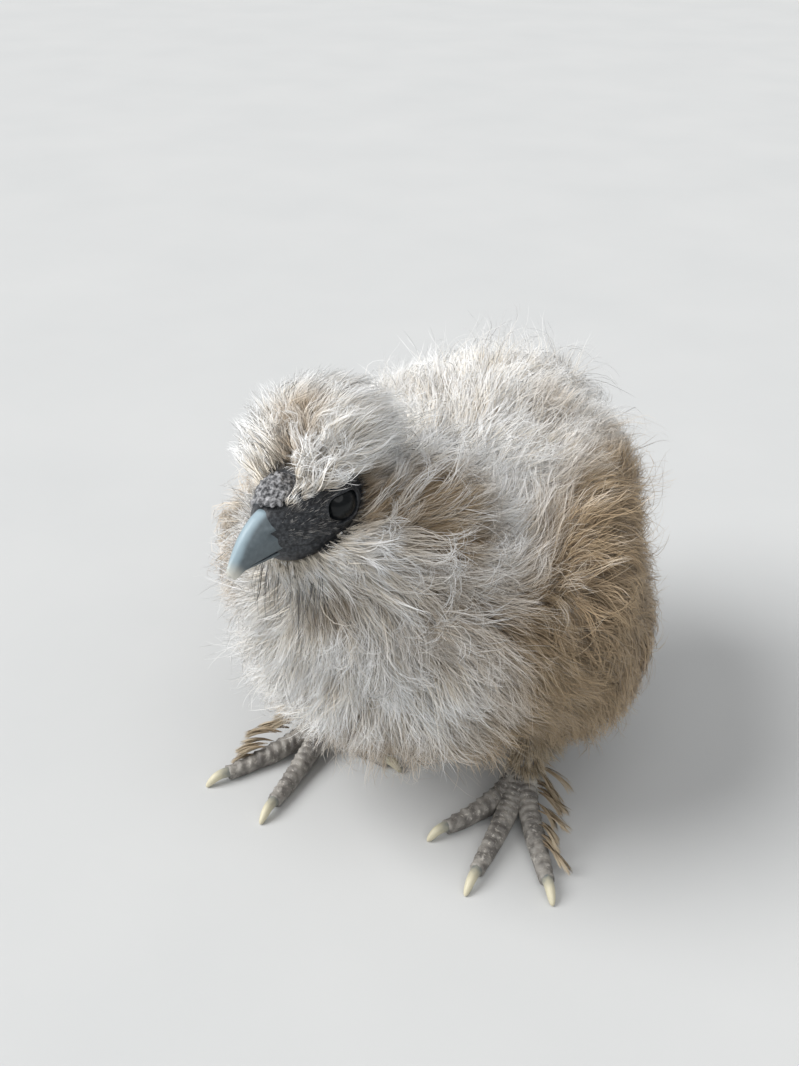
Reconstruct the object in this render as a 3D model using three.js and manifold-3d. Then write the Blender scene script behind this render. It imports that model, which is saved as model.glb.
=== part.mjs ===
// A young silkie hen standing at rest, life size, in millimetres.
// X is the bird's left, -Y is the way its body faces, +Z is up, and the floor is at Z = 0.
// Each coat is a smooth core with flat, tapered locks set in rows on it, as the real plumes lie.

import * as THREE from "three";
import { ConvexGeometry } from "three/addons/geometries/ConvexGeometry.js";
import { mergeVertices } from "three/addons/utils/BufferGeometryUtils.js";
import Module from "manifold-3d";

const wasm = await Module();
wasm.setup();
const { Manifold } = wasm;

// Driving dimensions.
const TINY = 0.02; // edges shorter than this are closed up
const GAP = 0.3; // clear space between two pieces that meet
const OVER = 6; // how far over another core a lock that drapes on it runs
const SINK = 5; // how deep a lock's root sits in its core
const HEAD_AT = [-15, -49, 125]; // middle of the skull, between the eyes
const HEAD_YAW = -17; // degrees, turned to the bird's right
const HEAD_PITCH = 6; // degrees, beak down
const SKULL = [12, 16.5, 12.5]; // half width, half length, half height
const EYE_RADIUS = 5;
const EYE_AT = [8.8, 1, 2.5]; // in the head, from its middle
const FOOT_AT = [36.5, -5.5]; // where the toes of the left foot part
const TOE_RADIUS = 3.1;
const RAISED = 0.45; // how far a scute's edge stands up
const COAT_SEED = 7;

// Colour, roughness and metalness of each finish.
const LOOKS = {
  plume: { color: 0xded6cc, roughness: 0.85, metalness: 0 },
  comb: { color: 0x55585f, roughness: 0.6, metalness: 0 },
  beak: { color: 0x7b8a92, roughness: 0.4, metalness: 0 },
  eye: { color: 0x0b0b0e, roughness: 0.05, metalness: 0 },
  scale: { color: 0x7a736d, roughness: 0.7, metalness: 0 },
  claw: { color: 0xc9c4a4, roughness: 0.35, metalness: 0 },
};

// Vectors and chance.
const vec = (x, y, z) => new THREE.Vector3(x, y, z);
const X_AXIS = vec(1, 0, 0);
const radians = THREE.MathUtils.degToRad;
const mix = THREE.MathUtils.lerp;

function chance(seed) {
  let state = seed >>> 0;
  return (spread = 1) => {
    state = (state + 0x6d2b79f5) >>> 0;
    let t = Math.imul(state ^ (state >>> 15), 1 | state);
    t = (t + Math.imul(t ^ (t >>> 7), 61 | t)) ^ t;
    return spread * (2 * (((t ^ (t >>> 14)) >>> 0) / 4294967296) - 1);
  };
}

// Solids. A closed unit cylinder is bent into most shapes: place(t, x, y) gives the point for
// a station t from 0 to 1 along it and a point x, y of the unit circle.
function bent(geometry, place) {
  const at = geometry.attributes.position;
  for (let i = 0; i < at.count; i++) {
    const p = place(vec(at.getX(i), at.getY(i), at.getZ(i)));
    at.setXYZ(i, p.x, p.y, p.z);
  }
  return solidOf(geometry);
}
const shaped = (sides, segments, place) =>
  bent(new THREE.CylinderGeometry(1, 1, 1, sides, segments), (p) => place(0.5 - p.y, p.x, p.z));
const ballShape = (centre, radii, wide = 16, high = 10) =>
  new THREE.SphereGeometry(1, wide, high).rotateX(Math.PI / 2).scale(...radii).translate(...centre);
const ball = (...spec) => solidOf(ballShape(...spec));

// One round form wrapped tightly about several balls.
function wrapped(specs) {
  const points = specs.flatMap((spec) => {
    const at = ballShape(...spec).attributes.position;
    return Array.from({ length: at.count }, (_, i) => vec(at.getX(i), at.getY(i), at.getZ(i)));
  });
  return solidOf(new ConvexGeometry(points));
}

function solidOf(geometry) {
  const bare = new THREE.BufferGeometry();
  bare.setAttribute("position", geometry.attributes.position);
  bare.setIndex(geometry.index);
  const merged = mergeVertices(bare, 1e-3);
  const at = merged.attributes.position.array;
  const corner = (i) => vec(at[3 * i], at[3 * i + 1], at[3 * i + 2]);
  const faces = [];
  let volume = 0;
  for (let i = 0; i < merged.index.count; i += 3) {
    const [a, b, c] = merged.index.array.slice(i, i + 3);
    if (a === b || b === c || c === a) continue;
    faces.push([a, b, c]);
    volume += corner(a).dot(corner(b).cross(corner(c)));
  }
  if (volume < 0) faces.forEach((face) => face.reverse());
  return new Manifold(
    new wasm.Mesh({ numProp: 3, vertProperties: at, triVerts: new Uint32Array(faces.flat()) }),
  );
}

const union = (solids) => Manifold.union(solids);
const largest = (solid) => solid.decompose().sort((a, b) => b.volume() - a.volume())[0];
const mirrored = (solid) => solid.mirror([1, 0, 0]);
const FLOOR = solidOf(new THREE.BoxGeometry(400, 400, 100).translate(0, 0, -50));

// A mound is an egg. Its long axis points the way it says, it has its own length to each end
// of that axis, and it narrows by its taper towards the far end.
class Mound {
  constructor({ at, wide, high, near, far, taper = 0, way = [0, 1, 0], on = new THREE.Matrix4() }) {
    Object.assign(this, { wide, high, near, far, taper });
    const y = vec(...way).normalize();
    const x = X_AXIS.clone().addScaledVector(y, -y.x).normalize();
    const own = new THREE.Matrix4().makeBasis(x, y, x.clone().cross(y)).setPosition(...at);
    this.frame = on.clone().multiply(own);
    this.inverse = this.frame.clone().invert();
    this.middle = this.place(vec(0, 0, 0));
  }

  // The point of the surface for a point of the unit ball, and the way back.
  place(s, grow = 0) {
    const narrow = 1 - this.taper * s.y;
    const length = (s.y < 0 ? this.near : this.far) + grow;
    const p = vec(s.x * (this.wide * narrow + grow), s.y * length, s.z * (this.high * narrow + grow));
    return p.applyMatrix4(this.frame);
  }

  unplace(p) {
    const s = p.clone().applyMatrix4(this.inverse);
    s.y /= s.y < 0 ? this.near : this.far;
    const narrow = 1 - this.taper * THREE.MathUtils.clamp(s.y, -1, 1);
    return s.divide(vec(this.wide * narrow, 1, this.high * narrow));
  }

  // The surface point out beyond a point, and whether a point is inside.
  pull(p, grow = 0) {
    return this.place(this.unplace(p).normalize(), grow);
  }

  holds(p, grow = 0) {
    return this.pull(p, grow).distanceTo(this.middle) > p.distanceTo(this.middle);
  }

  outward(p) {
    const step = 0.5;
    const slope = (x, y, z) =>
      this.unplace(p.clone().add(vec(x, y, z))).length() -
      this.unplace(p.clone().sub(vec(x, y, z))).length();
    return vec(slope(step, 0, 0), slope(0, step, 0), slope(0, 0, step)).normalize();
  }

  // Steps over the surface from a place, each step the way the plumes lie there. Where the
  // next mound's coat stands out of this one, the steps go on over that coat.
  walk(start, lie, length, steps, over = []) {
    const stops = [];
    let p = start;
    let ground = this;
    for (let i = 0; i <= steps; i++) {
      const n = ground.outward(p);
      stops.push({ p, n });
      const way = lie(p);
      way.addScaledVector(n, -way.dot(n)).setLength(length / steps);
      p = ground.pull(p.clone().add(way), ground === this ? 0 : OVER);
      for (const mound of over) {
        if (mound === ground || !mound.holds(p, OVER)) continue;
        p = mound.pull(p, OVER);
        ground = mound;
      }
    }
    return stops;
  }

  solid(grow = 0, wide = 20, high = 14) {
    return bent(new THREE.SphereGeometry(1, wide, high), (s) => this.place(s, grow));
  }
}

// The way of the plumes at a point, from a source towards a drain.
const flow = (source, drain, pull = 1) => (p) => {
  const away = p.clone().sub(vec(...source));
  const to = vec(...drain).sub(p);
  return away.setLength(1 / Math.max(away.length(), 1)).addScaledVector(to, pull / to.lengthSq());
};

// A lock is a flat, tapered plume with a ridge along each face, bent through its stops.
const LOCK_SHARES = [0.6, 1, 0.72, 0];
function lock(stops, width, depth) {
  const last = stops.length - 1;
  return shaped(4, last, (t, x, y) => {
    const i = Math.round(t * last);
    const { p, n } = stops[i];
    const way = stops[Math.min(i + 1, last)].p.clone().sub(stops[Math.max(i - 1, 0)].p);
    const side = way.cross(n).normalize();
    const share = 0.5 * LOCK_SHARES[i];
    return p.clone().addScaledVector(side, width * share * x).addScaledVector(n, depth * share * y);
  });
}

// Rows of locks ring a mound, each row some degrees from the pole and half a step on.
function coat(mound, { pole, rows, pitch, lie, length, width, depth, lift, keep, seed, over }) {
  const roll = chance(COAT_SEED + seed);
  const axis = vec(...pole).normalize();
  const u = vec(0.3, 0.2, 1).cross(axis).normalize();
  const v = axis.clone().cross(u);
  const ringPoint = (row, turn) =>
    mound.place(
      axis
        .clone()
        .multiplyScalar(Math.cos(row))
        .addScaledVector(u, Math.sin(row) * Math.cos(turn))
        .addScaledVector(v, Math.sin(row) * Math.sin(turn)),
    );
  const locks = [];
  rows.forEach((degrees, index) => {
    const row = radians(degrees);
    let ring = 0;
    for (let k = 0; k < 24; k++) {
      ring += ringPoint(row, (k * Math.PI) / 12).distanceTo(ringPoint(row, ((k + 1) * Math.PI) / 12));
    }
    const count = Math.max(5, Math.round(ring / pitch));
    for (let k = 0; k < count; k++) {
      const turn = (2 * Math.PI * (k + 0.5 * (index % 2) + roll(0.12))) / count;
      const start = ringPoint(row + roll(0.03), turn);
      const size = 1 + roll(0.14);
      const wide = 1 + roll(0.12);
      const sway = roll(0.16);
      if (keep && !keep(start)) continue;
      const swayed = (p) => lie(p).normalize().applyAxisAngle(mound.outward(p), sway);
      const stops = mound.walk(start, swayed, length * size, LOCK_SHARES.length - 1, over);
      stops.forEach((stop, i) => {
        const t = i / (stops.length - 1);
        stop.p = stop.p.clone().addScaledVector(stop.n, mix(-SINK, lift * size, 1 - (1 - t) ** 1.8));
      });
      locks.push(lock(stops, width * wide, depth));
    }
  });
  return locks;
}

// The head is made about its own middle, facing -Y, and then set in place.
const headPlace = new THREE.Matrix4()
  .makeTranslation(...HEAD_AT)
  .multiply(new THREE.Matrix4().makeRotationZ(radians(HEAD_YAW)))
  .multiply(new THREE.Matrix4().makeRotationX(radians(HEAD_PITCH)));
const onHead = (solid) => solid.transform(headPlace.elements);
const grown = (radii, grow) => radii.map((r) => r + grow);
const headPoint = (...at) => vec(...at).applyMatrix4(headPlace).toArray();

// The bird's flesh and the inner half of its plumage.
const torso = new Mound({
  at: [0, 0, 76], wide: 48, high: 40, near: 56, far: 82, taper: 0.12, way: [0, 1, 0.22],
});
const cushion = new Mound({
  at: [0, 53, 90], wide: 35, high: 31, near: 34, far: 33, taper: 0.1, way: [0, 1, 0.25],
});
const neck = new Mound({
  at: [-8, -32, 103], wide: 26, high: 27, near: 22, far: 30, taper: -0.12, way: [0.25, 0.5, -0.85],
});
const thigh = new Mound({
  at: [45, 9, 59], wide: 20, high: 23, near: 22, far: 28, taper: 0.2, way: [-0.1, -0.18, -1],
});
const wing = new Mound({
  at: [45, 14, 87], wide: 10, high: 20, near: 38, far: 58, taper: 0.15, way: [-0.27, 1, 0.1],
});
const rump = new Mound({
  at: [0, 80, 101], wide: 18, high: 10, near: 12, far: 15, taper: 0.2, way: [0, 1, 0.5],
});
const crest = new Mound({ at: [0, 5, 16], wide: 15, high: 12, near: 12, far: 15, on: headPlace });
const muffs = new Mound({ at: [0, 2, -12], wide: 17, high: 8, near: 13, far: 15, on: headPlace });

// The beak narrows and hooks down to its tip; the mouth line parts its upper and lower halves.
const BEAK = { from: -10, to: -31, wide: 5.6, high: 7.3 };
const beak = (grow) =>
  shaped(12, 6, (t, x, y) => {
    const wide = mix(BEAK.wide, 1.1, t ** 1.6) + grow;
    const high = mix(BEAK.high, 1.6, t ** 3) + grow;
    return vec(wide * x, mix(BEAK.from, BEAK.to, t) - grow * t, high * y - 0.8 - 5.8 * t ** 3);
  });
const belowMouth = (grow) =>
  shaped(6, 5, (t, x, y) =>
    vec(12 * x, mix(BEAK.from + 1, BEAK.to + 4, t) - grow * t, 8 * y - 13.4 - 1.4 * t ** 2.2 + grow),
  );
const nostril = (side) => ball([side * 4.6, -18, 0.6], [1.3, 1.5, 0.8], 6, 4);

// The comb is a low cushion of warts between the beak and the crest.
function comb(grow) {
  const roll = chance(COAT_SEED + 3);
  const warts = [ball([0, -11, 9.4], grown([5, 6.4, 3.9], grow), 9, 5)];
  for (let i = 0; i < 5 && !grow; i++) {
    const turn = i * 2.4;
    const out = Math.sqrt((i + 0.5) / 5);
    const at = [4 * out * Math.cos(turn), -11 + 5.4 * out * Math.sin(turn), 12 - 2.4 * out];
    warts.push(ball(at, [2.6 + roll(0.5), 2.6 + roll(0.5), 2.3], 6, 4));
  }
  return union(warts);
}

const eyeball = (grow) => ball(EYE_AT, grown([EYE_RADIUS, EYE_RADIUS, EYE_RADIUS], grow), 14, 8);
const lids = () =>
  bent(new THREE.TorusGeometry(4.5, 1, 4, 12).rotateY(Math.PI / 2), (p) =>
    p.add(vec(EYE_AT[0] + 2.3, EYE_AT[1], EYE_AT[2])),
  );

// A digit is a tube of scutes along a smooth line: each scute rises a little to its far edge.
function digit({ line, radii, front = vec(0, 0, 1), scutes = 0, sides = 6 }) {
  const curve = new THREE.CatmullRomCurve3(line.map((p) => vec(...p)));
  const sizes = new THREE.CatmullRomCurve3(radii.map((r) => vec(r, 0, 0)));
  const rings = scutes ? 2 * scutes : 4;
  return shaped(sides, rings, (t, x, y) => {
    const ring = Math.round(t * rings);
    const lip = scutes && ring % 2 && ring < rings ? RAISED : 0;
    const at = scutes && ring % 2 ? (ring + 0.8) / rings : t;
    const along = curve.getTangent(at);
    const side = along.clone().cross(front).normalize();
    const up = side.clone().cross(along);
    const radius = sizes.getPoint(at).x + lip * Math.max(y, 0);
    return curve.getPoint(at).addScaledVector(side, radius * x).addScaledVector(up, radius * y);
  });
}

// Each toe, drawn for the left foot, runs from the pad to the point where its claw starts.
const TOES = {
  middle: { tip: [36.2, -54.3], claw: 10.5, scutes: 7 },
  hind: { tip: [30.5, 21], claw: 7.5, scutes: 4 },
  inner: { tip: [16.4, -38.1], claw: 8.5, scutes: 5 },
  outer: { tip: [61.9, -46.7], claw: 9.5, scutes: 6 },
};
// The right foot's inner toe is spread wide and lies under the breast.
const TUCKED_TOE = { tip: [5, -12], claw: 7.5, scutes: 5 };
function toeLine({ tip, claw }, grow = 0) {
  const [fx, fy] = FOOT_AT;
  const reach = Math.hypot(tip[0] - fx, tip[1] - fy);
  const at = (d, z) => [fx + ((tip[0] - fx) * d) / reach, fy + ((tip[1] - fy) * d) / reach, z];
  const end = reach - claw;
  return {
    toe: [at(4, 8.5), at(mix(4, end, 0.25), 5), at(mix(4, end, 0.6), 2.9), at(end + grow, 2.4)],
    claw: [at(end + 2 * GAP, 2.5), at(end + 0.5 * claw, 3), at(reach, 0.35)],
  };
}
const padBall = (grow) =>
  ball([FOOT_AT[0], FOOT_AT[1] - 0.5, 7.6], grown([7.4, 7.4, 6.2], grow), 10, 6);
const room = (grow) => (grow ? grow + RAISED : 0);
const shankTube = (grow) =>
  digit({
    line: [[39, 4.5, 37 + grow], [38.5, 3, 28], [37, -3, 16], [...FOOT_AT, 8]],
    radii: [4.6, 4.1, 3.9, 5].map((r) => r + room(grow)),
    front: vec(0, -1, 0),
    scutes: grow ? 0 : 7,
  });
const toeTube = (spec, grow = 0) =>
  digit({
    line: toeLine(spec, grow).toe,
    radii: [3.9, 3.5, TOE_RADIUS, 2.6].map((r) => r + room(grow)),
    scutes: grow ? 0 : spec.scutes,
  });
const FIFTH_FRONT = vec(0.5, -0.6, 0.7);
const fifthTube = (grow) =>
  digit({
    line: [[33, 0, 11], [29, 5, 11.5], [26.5 - 0.6 * grow, 9 + 0.6 * grow, 13.5 + 0.6 * grow]],
    radii: [3.2, 2.9, 2.4].map((r) => r + room(grow)),
    front: FIFTH_FRONT,
    scutes: grow ? 0 : 3,
  });
const clawTube = (line, front) => digit({ line, front, radii: [2.1, 1.7, 0.4], sides: 5 });

const FIFTH_CLAW = [[26.1, 9.5, 14], [24.8, 11.2, 16.4], [24.2, 11.6, 20.5]];

// A foot's toes are each cut clear of the pad, the shank and the toes before it.
const made = {};
function foot(side, toes) {
  const set = (name, solid) => (made[name] = side === "left" ? solid : mirrored(solid));
  const around = [padBall(GAP), shankTube(GAP)];
  for (const [name, spec] of Object.entries(toes)) {
    set(`toe_${side}_${name}`, toeTube(spec).subtract(union([...around, FLOOR])));
    set(`claw_${side}_${name}`, clawTube(toeLine(spec).claw).subtract(FLOOR));
    around.push(toeTube(spec, GAP));
  }
  set(`toe_${side}_fifth`, fifthTube(0).subtract(union(around)));
  set(`claw_${side}_fifth`, clawTube(FIFTH_CLAW, FIFTH_FRONT));
}
foot("left", TOES);
foot("right", { ...TOES, inner: TUCKED_TOE });

// A plume that leaves its root along one line and bends to another, for crests and fringes.
function plume(root, way, bend, up, width, depth, steps = 3) {
  const stops = [];
  for (let i = 0; i <= steps; i++) {
    const t = i / steps;
    const p = vec(...root).addScaledVector(vec(...way), t).addScaledVector(vec(...bend), t * t);
    stops.push({ p, n: vec(...up).normalize() });
  }
  return lock(stops, width, depth);
}

// The fringe of quills on the outer side of the shank and foot.
const FRINGE = [
  [[38, -1, 9], [20, -6, 4], [6, -5, -7.5], 7],
  [[38, 0, 12], [22, 2, 5], [6, 1, -9], 7],
  [[38, 1, 16], [18, 9, 4], [5, 6, -10], 7],
  [[38, 1, 20], [20, 1, 2], [3, 3, -11], 6],
];
const fringe = FRINGE.map(([root, way, bend, width]) =>
  plume(root, way, bend, [0.2, 0.1, 1], width, 1.3),
);
made.shank_left = union([shankTube(0), padBall(0), ...fringe]).subtract(FLOOR);

// The coats' locks, each with its own lie, rows and lengths.
const TAIL_TIP = [0, 112, 116];
const covered = (p, ...mounds) => mounds.some((mound) => mound.holds(p, 2));
const ruffZone = new Mound({
  at: [-6, -32, 100], wide: 40, high: 40, near: 30, far: 36, way: [0.2, 0.45, -0.85],
});
const wingZone = new Mound({
  at: [45, 16, 86], wide: 18, high: 27, near: 46, far: 70, way: [-0.27, 1, 0.08],
});
const thighZone = new Mound({
  at: [46, 9, 52], wide: 31, high: 34, near: 34, far: 40, taper: 0.25, way: [-0.1, -0.18, -1],
});
const tailZone = new Mound({
  at: [0, 102, 112], wide: 34, high: 15, near: 18, far: 24, way: [0, 1, 0.55],
});

const torsoLocks = coat(torso, {
  pole: [0, -0.6, 0.8], rows: [26, 46, 66, 86, 108, 130, 152], pitch: 22.5, seed: 1,
  lie: flow([-4, -34, 104], TAIL_TIP, 1.2), length: 46, width: 20, depth: 3.6, lift: 9.5,
  keep: (p) =>
    !covered(p, cushion, neck) && !ruffZone.holds(p, -13) &&
    !(Math.abs(p.x) > 33 && (p.z > 66 || (p.y > -10 && p.y < 26))),
});
const cushionLocks = coat(cushion, {
  pole: [0, -0.75, 0.66], rows: [32, 62, 92, 122, 150], pitch: 22, seed: 2,
  lie: flow([0, 10, 128], TAIL_TIP, 1.2), length: 42, width: 20, depth: 3.6, lift: 9.5,
  keep: (p) => !covered(p, torso, rump),
});
const neckLocks = coat(neck, {
  pole: [0, -1, 0], rows: [46, 76, 104], pitch: 18, seed: 3, over: [torso],
  lie: flow([-13, -46, 124], [2, 0, 30], 0.2), length: 42, width: 19, depth: 3, lift: 6,
  keep: (p) => !torso.holds(p, 1),
});
const thighLocks = coat(thigh, {
  pole: [0, -1, 0], rows: [56, 86, 114], pitch: 19, seed: 4,
  lie: () => vec(-0.1, 0.05, -1), length: 34, width: 19, depth: 3, lift: 8,
  keep: (p) => !torso.holds(p, 2),
});
const wingLocks = coat(wing, {
  pole: [0, -1, 0], rows: [26, 66, 102], pitch: 20, seed: 12,
  lie: flow([44, -40, 90], [34, 104, 76]), length: 50, width: 20, depth: 2.6, lift: 6,
  keep: (p) => p.x > 48 - 0.27 * Math.max(p.y, 0) && !torso.holds(p, 3),
});
const crestLocks = coat(crest, {
  pole: [0, -0.25, 1], rows: [22, 62], pitch: 11, seed: 6,
  lie: flow(headPoint(0, -2, 32), headPoint(0, 10, -40), 0.4), length: 27, width: 14, depth: 3,
  lift: 10, keep: (p) => p.z > HEAD_AT[2] + 17 || p.y > HEAD_AT[1] + 6,
});
const muffLocks = coat(muffs, {
  pole: [0, -0.9, 0.5], rows: [46, 82], pitch: 13, seed: 7, over: [neck],
  lie: flow(headPoint(0, -18, 8), headPoint(0, 14, -70), 0.5), length: 26, width: 13, depth: 2.6,
  lift: 6, keep: (p) => p.z < HEAD_AT[2] - 6 && p.y < HEAD_AT[1] + 16,
});

// The tail's vanes fan out in two tiers over soft coverts.
const tailLocks = [];
for (const [tier, count, spread, length] of [[0, 7, 42, 30], [1, 6, 36, 24]]) {
  for (let i = 0; i < count; i++) {
    const turn = radians(mix(-spread, spread, i / (count - 1)));
    const rise = radians(26 + 10 * tier);
    const way = [Math.sin(turn), Math.cos(turn) * Math.cos(rise), Math.cos(turn) * Math.sin(rise)];
    const root = [11 * Math.sin(turn), 84, 100 + 3.5 * tier];
    tailLocks.push(
      plume(root, way.map((w) => w * length), [2 * Math.sin(turn), -1, -5], [0, -0.5, 1], 11, 2),
    );
  }
}

// Where two coats meet, one is cut to a low layer and the other starts above it.
const headZone = (grow) =>
  onHead(wrapped([
    [[0, -1, -13], grown([28, 27, 19], grow), 12, 7],
    [[0, 3, 19], grown([30, 28, 26], grow), 12, 7],
  ]));
const faceZone = onHead(wrapped([
  [[0, -11.5, 11], [7.5, 8, 6], 8, 5],
  [[0, -16, -1], [7, 6, 8], 8, 5],
  [[0, -33, -7], [2, 2, 3], 6, 5],
]));
const bodyCore = (grow) => union([torso.solid(grow, 16, 10), cushion.solid(grow, 14, 8)]);
const neckCore = (grow) => neck.solid(grow, 12, 8);
const pair = (solid) => union([solid, mirrored(solid)]);
const wings = pair(wingZone.solid(GAP, 10, 6));
const thighs = pair(thighZone.solid(GAP, 10, 6));
const onBody = bodyCore(GAP);

const fluffCore = (grow) => union([crest.solid(grow, 12, 7), muffs.solid(grow, 12, 7)]);
const skull = (grow) => union([
  ball([0, 0, 0], grown(SKULL, grow), 14, 10), ...(grow ? [] : [lids(), mirrored(lids())]),
]);
const eyes = onHead(pair(eyeball(GAP)));
const locksOfHead = union([...crestLocks, ...muffLocks]).subtract(faceZone);
made.head = union([onHead(skull(0)), fluffCore(0), locksOfHead])
  .subtract(union([eyes, neckCore(GAP), torso.solid(GAP, 16, 10)]))
  .intersect(headZone(0));
const headOut = union([onHead(skull(GAP)), fluffCore(GAP)]);
made.beak_lower = onHead(beak(0).intersect(belowMouth(0)).subtract(comb(GAP))).subtract(headOut);
made.beak_upper = onHead(
  beak(0).subtract(union([belowMouth(GAP), comb(GAP), nostril(1), nostril(-1)])),
).subtract(headOut);
made.comb = onHead(comb(0)).subtract(headOut);
made.eye_left = onHead(eyeball(0));
made.eye_right = onHead(mirrored(eyeball(0)));

made.neck = union([neckCore(0), union(neckLocks).subtract(headZone(GAP))])
  .subtract(union([torso.solid(GAP, 16, 10), wings]))
  .intersect(ruffZone.solid(0, 12, 8));
made.torso = union([
  bodyCore(0),
  union([...torsoLocks, ...cushionLocks]).subtract(union([
    wings, thighs, tailZone.solid(GAP, 10, 6), headZone(GAP), ruffZone.solid(GAP, 12, 8),
  ])),
]);
made.wing_left = union([wing.solid(0, 12, 8), ...wingLocks])
  .subtract(onBody)
  .intersect(wingZone.solid(0, 10, 6));
made.thigh_left = union([thigh.solid(0, 12, 8), ...thighLocks])
  .subtract(union([onBody, wings, shankTube(GAP)]))
  .intersect(thighZone.solid(0, 10, 6));
made.tail = union([rump.solid(0, 10, 6), ...tailLocks])
  .subtract(onBody)
  .intersect(tailZone.solid(0, 10, 6));

// Each solid becomes a named mesh, and the left side's pieces are mirrored to the right.
const FINISHES = { beak: "beak", comb: "comb", eye: "eye", claw: "claw", toe: "scale", shank: "scale" };
const bird = new THREE.Group();
function surface(solid) {
  const mesh = largest(solid).getMesh();
  const geometry = new THREE.BufferGeometry();
  geometry.setAttribute("position", new THREE.BufferAttribute(mesh.vertProperties, 3));
  geometry.setIndex(new THREE.BufferAttribute(mesh.triVerts, 1));
  return geometry;
}
function add(name, solid) {
  const look = LOOKS[FINISHES[name.split("_")[0]] ?? "plume"];
  const closed = solidOf(surface(solid.simplify(TINY))); // what a cut left too close is joined
  const node = new THREE.Mesh(surface(closed), new THREE.MeshStandardMaterial(look));
  node.name = name;
  bird.add(node);
}
for (const [name, solid] of Object.entries(made)) {
  add(name, solid);
  const twin = name.replace("left", "right");
  if (!(twin in made)) add(twin, mirrored(solid));
}

// The floor point under the middle of the whole bird becomes the origin.
const bounds = new THREE.Box3().setFromObject(bird);
const centre = bounds.getCenter(vec(0, 0, 0));
bird.children.forEach((node) => node.geometry.translate(-centre.x, -centre.y, -bounds.min.z));
export default bird;
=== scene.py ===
# %% [markdown]
# # A silkie hen, life size
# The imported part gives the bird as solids: closed cores with flat locks of plumage. This lesson
# dresses it. One skin replaces every fleshy solid, then almost two hundred thousand fine plume
# strands are set over it in numpy, and the beak, comb, eyes and claws are made again with
# finer surfaces. Everything is drawn in millimetres in the part's own drawing frame and moved
# into the frame's metres at the end.

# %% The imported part
import math

import bpy
import numpy as np
from mathutils import Matrix, Vector


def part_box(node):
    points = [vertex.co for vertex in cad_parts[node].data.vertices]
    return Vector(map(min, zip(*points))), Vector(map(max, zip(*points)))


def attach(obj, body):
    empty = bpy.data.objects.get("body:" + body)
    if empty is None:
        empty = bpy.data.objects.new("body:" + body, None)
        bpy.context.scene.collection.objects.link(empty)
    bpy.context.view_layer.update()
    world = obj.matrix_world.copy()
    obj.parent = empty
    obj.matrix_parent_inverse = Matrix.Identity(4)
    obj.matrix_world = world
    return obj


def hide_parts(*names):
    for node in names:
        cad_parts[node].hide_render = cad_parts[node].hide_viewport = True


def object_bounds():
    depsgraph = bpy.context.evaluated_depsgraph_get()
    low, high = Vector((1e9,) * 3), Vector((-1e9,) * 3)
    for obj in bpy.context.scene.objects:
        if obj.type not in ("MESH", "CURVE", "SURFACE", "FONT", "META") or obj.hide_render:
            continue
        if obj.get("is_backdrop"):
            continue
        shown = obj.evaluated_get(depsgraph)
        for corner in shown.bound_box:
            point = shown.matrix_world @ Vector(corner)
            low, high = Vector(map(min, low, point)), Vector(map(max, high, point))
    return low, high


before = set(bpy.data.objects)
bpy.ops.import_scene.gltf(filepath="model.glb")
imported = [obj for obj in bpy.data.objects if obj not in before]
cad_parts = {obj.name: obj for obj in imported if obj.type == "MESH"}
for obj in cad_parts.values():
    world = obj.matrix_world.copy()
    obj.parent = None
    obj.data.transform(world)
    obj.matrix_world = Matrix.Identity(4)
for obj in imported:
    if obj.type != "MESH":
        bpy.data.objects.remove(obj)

cad_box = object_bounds()
print("nodes", len(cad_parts), "box", [round(v, 4) for corner in cad_box for v in corner])

# %% [markdown]
# ## Vectors and chance
# Numpy works on whole arrays of points at once, which is what makes a coat of this many
# strands quick to build. The coat's random numbers come from one seeded generator, and the
# comb and the wrinkles have seeds of their own, so the bird is the same on each run.

# %% Small helpers
MM = 0.001
CHANCE = np.random.default_rng(20)
TURNS = {"left": 1, "right": -1}


def unit(v):
    """Vectors of length one, along the last axis."""
    return v / np.maximum(np.linalg.norm(v, axis=-1, keepdims=True), 1e-9)


def smooth(low, high, x):
    """0 below low and 1 above high, with a soft step between."""
    t = np.clip((x - low) / (high - low), 0, 1)
    return t * t * (3 - 2 * t)


def blend(a, b, t):
    return a + (b - a) * t


def along_dots(a, b):
    """The dot product of each pair of vectors, kept as a column."""
    return np.sum(a * b, axis=-1, keepdims=True)


def laid_flat(way, out):
    """A way with its part along `out` taken away."""
    return unit(way - along_dots(way, out) * out)


def stacked(x, y, z):
    """Points from three arrays of coordinates, spread to one shape."""
    return np.stack(np.broadcast_arrays(x, y, z), axis=-1)


def side_signs(p):
    """(1, 1, 1) for points on the bird's left and (-1, 1, 1) for those on its right."""
    signs = np.ones_like(p)
    signs[..., 0] = np.where(p[..., 0] < 0, -1, 1)
    return signs


def some(rows, count):
    """Up to that many of the rows, picked by chance."""
    return rows[CHANCE.choice(len(rows), min(count, len(rows)), replace=False)]


# %% [markdown]
# ## The head's own place
# The head is turned to the bird's right and bent a little down, so it is drawn about its own
# middle, facing -Y, and set in place by one turn and one shift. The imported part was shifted
# so that its origin lies under the middle of its box. An eye is a round ball, so the middle
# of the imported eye's box against the drawn eye gives that shift.

# %% Head place and the shift to the frame
HEAD_AT = np.array([-15.0, -49.0, 125.0])
HEAD_YAW = -17.0
HEAD_PITCH = 6.0
EYE_AT = np.array([8.8, 1.0, 2.5])


class Place:
    """A turn about the origin and a shift, from one frame of drawing to the next."""

    def __init__(self, turn, at):
        self.turn, self.at = turn, np.asarray(at, float)

    def out(self, p):
        return p @ self.turn.T + self.at

    def back(self, p):
        return (p - self.at) @ self.turn


def turn_about(axis, degrees):
    return np.array(Matrix.Rotation(math.radians(degrees), 3, axis))


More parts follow.
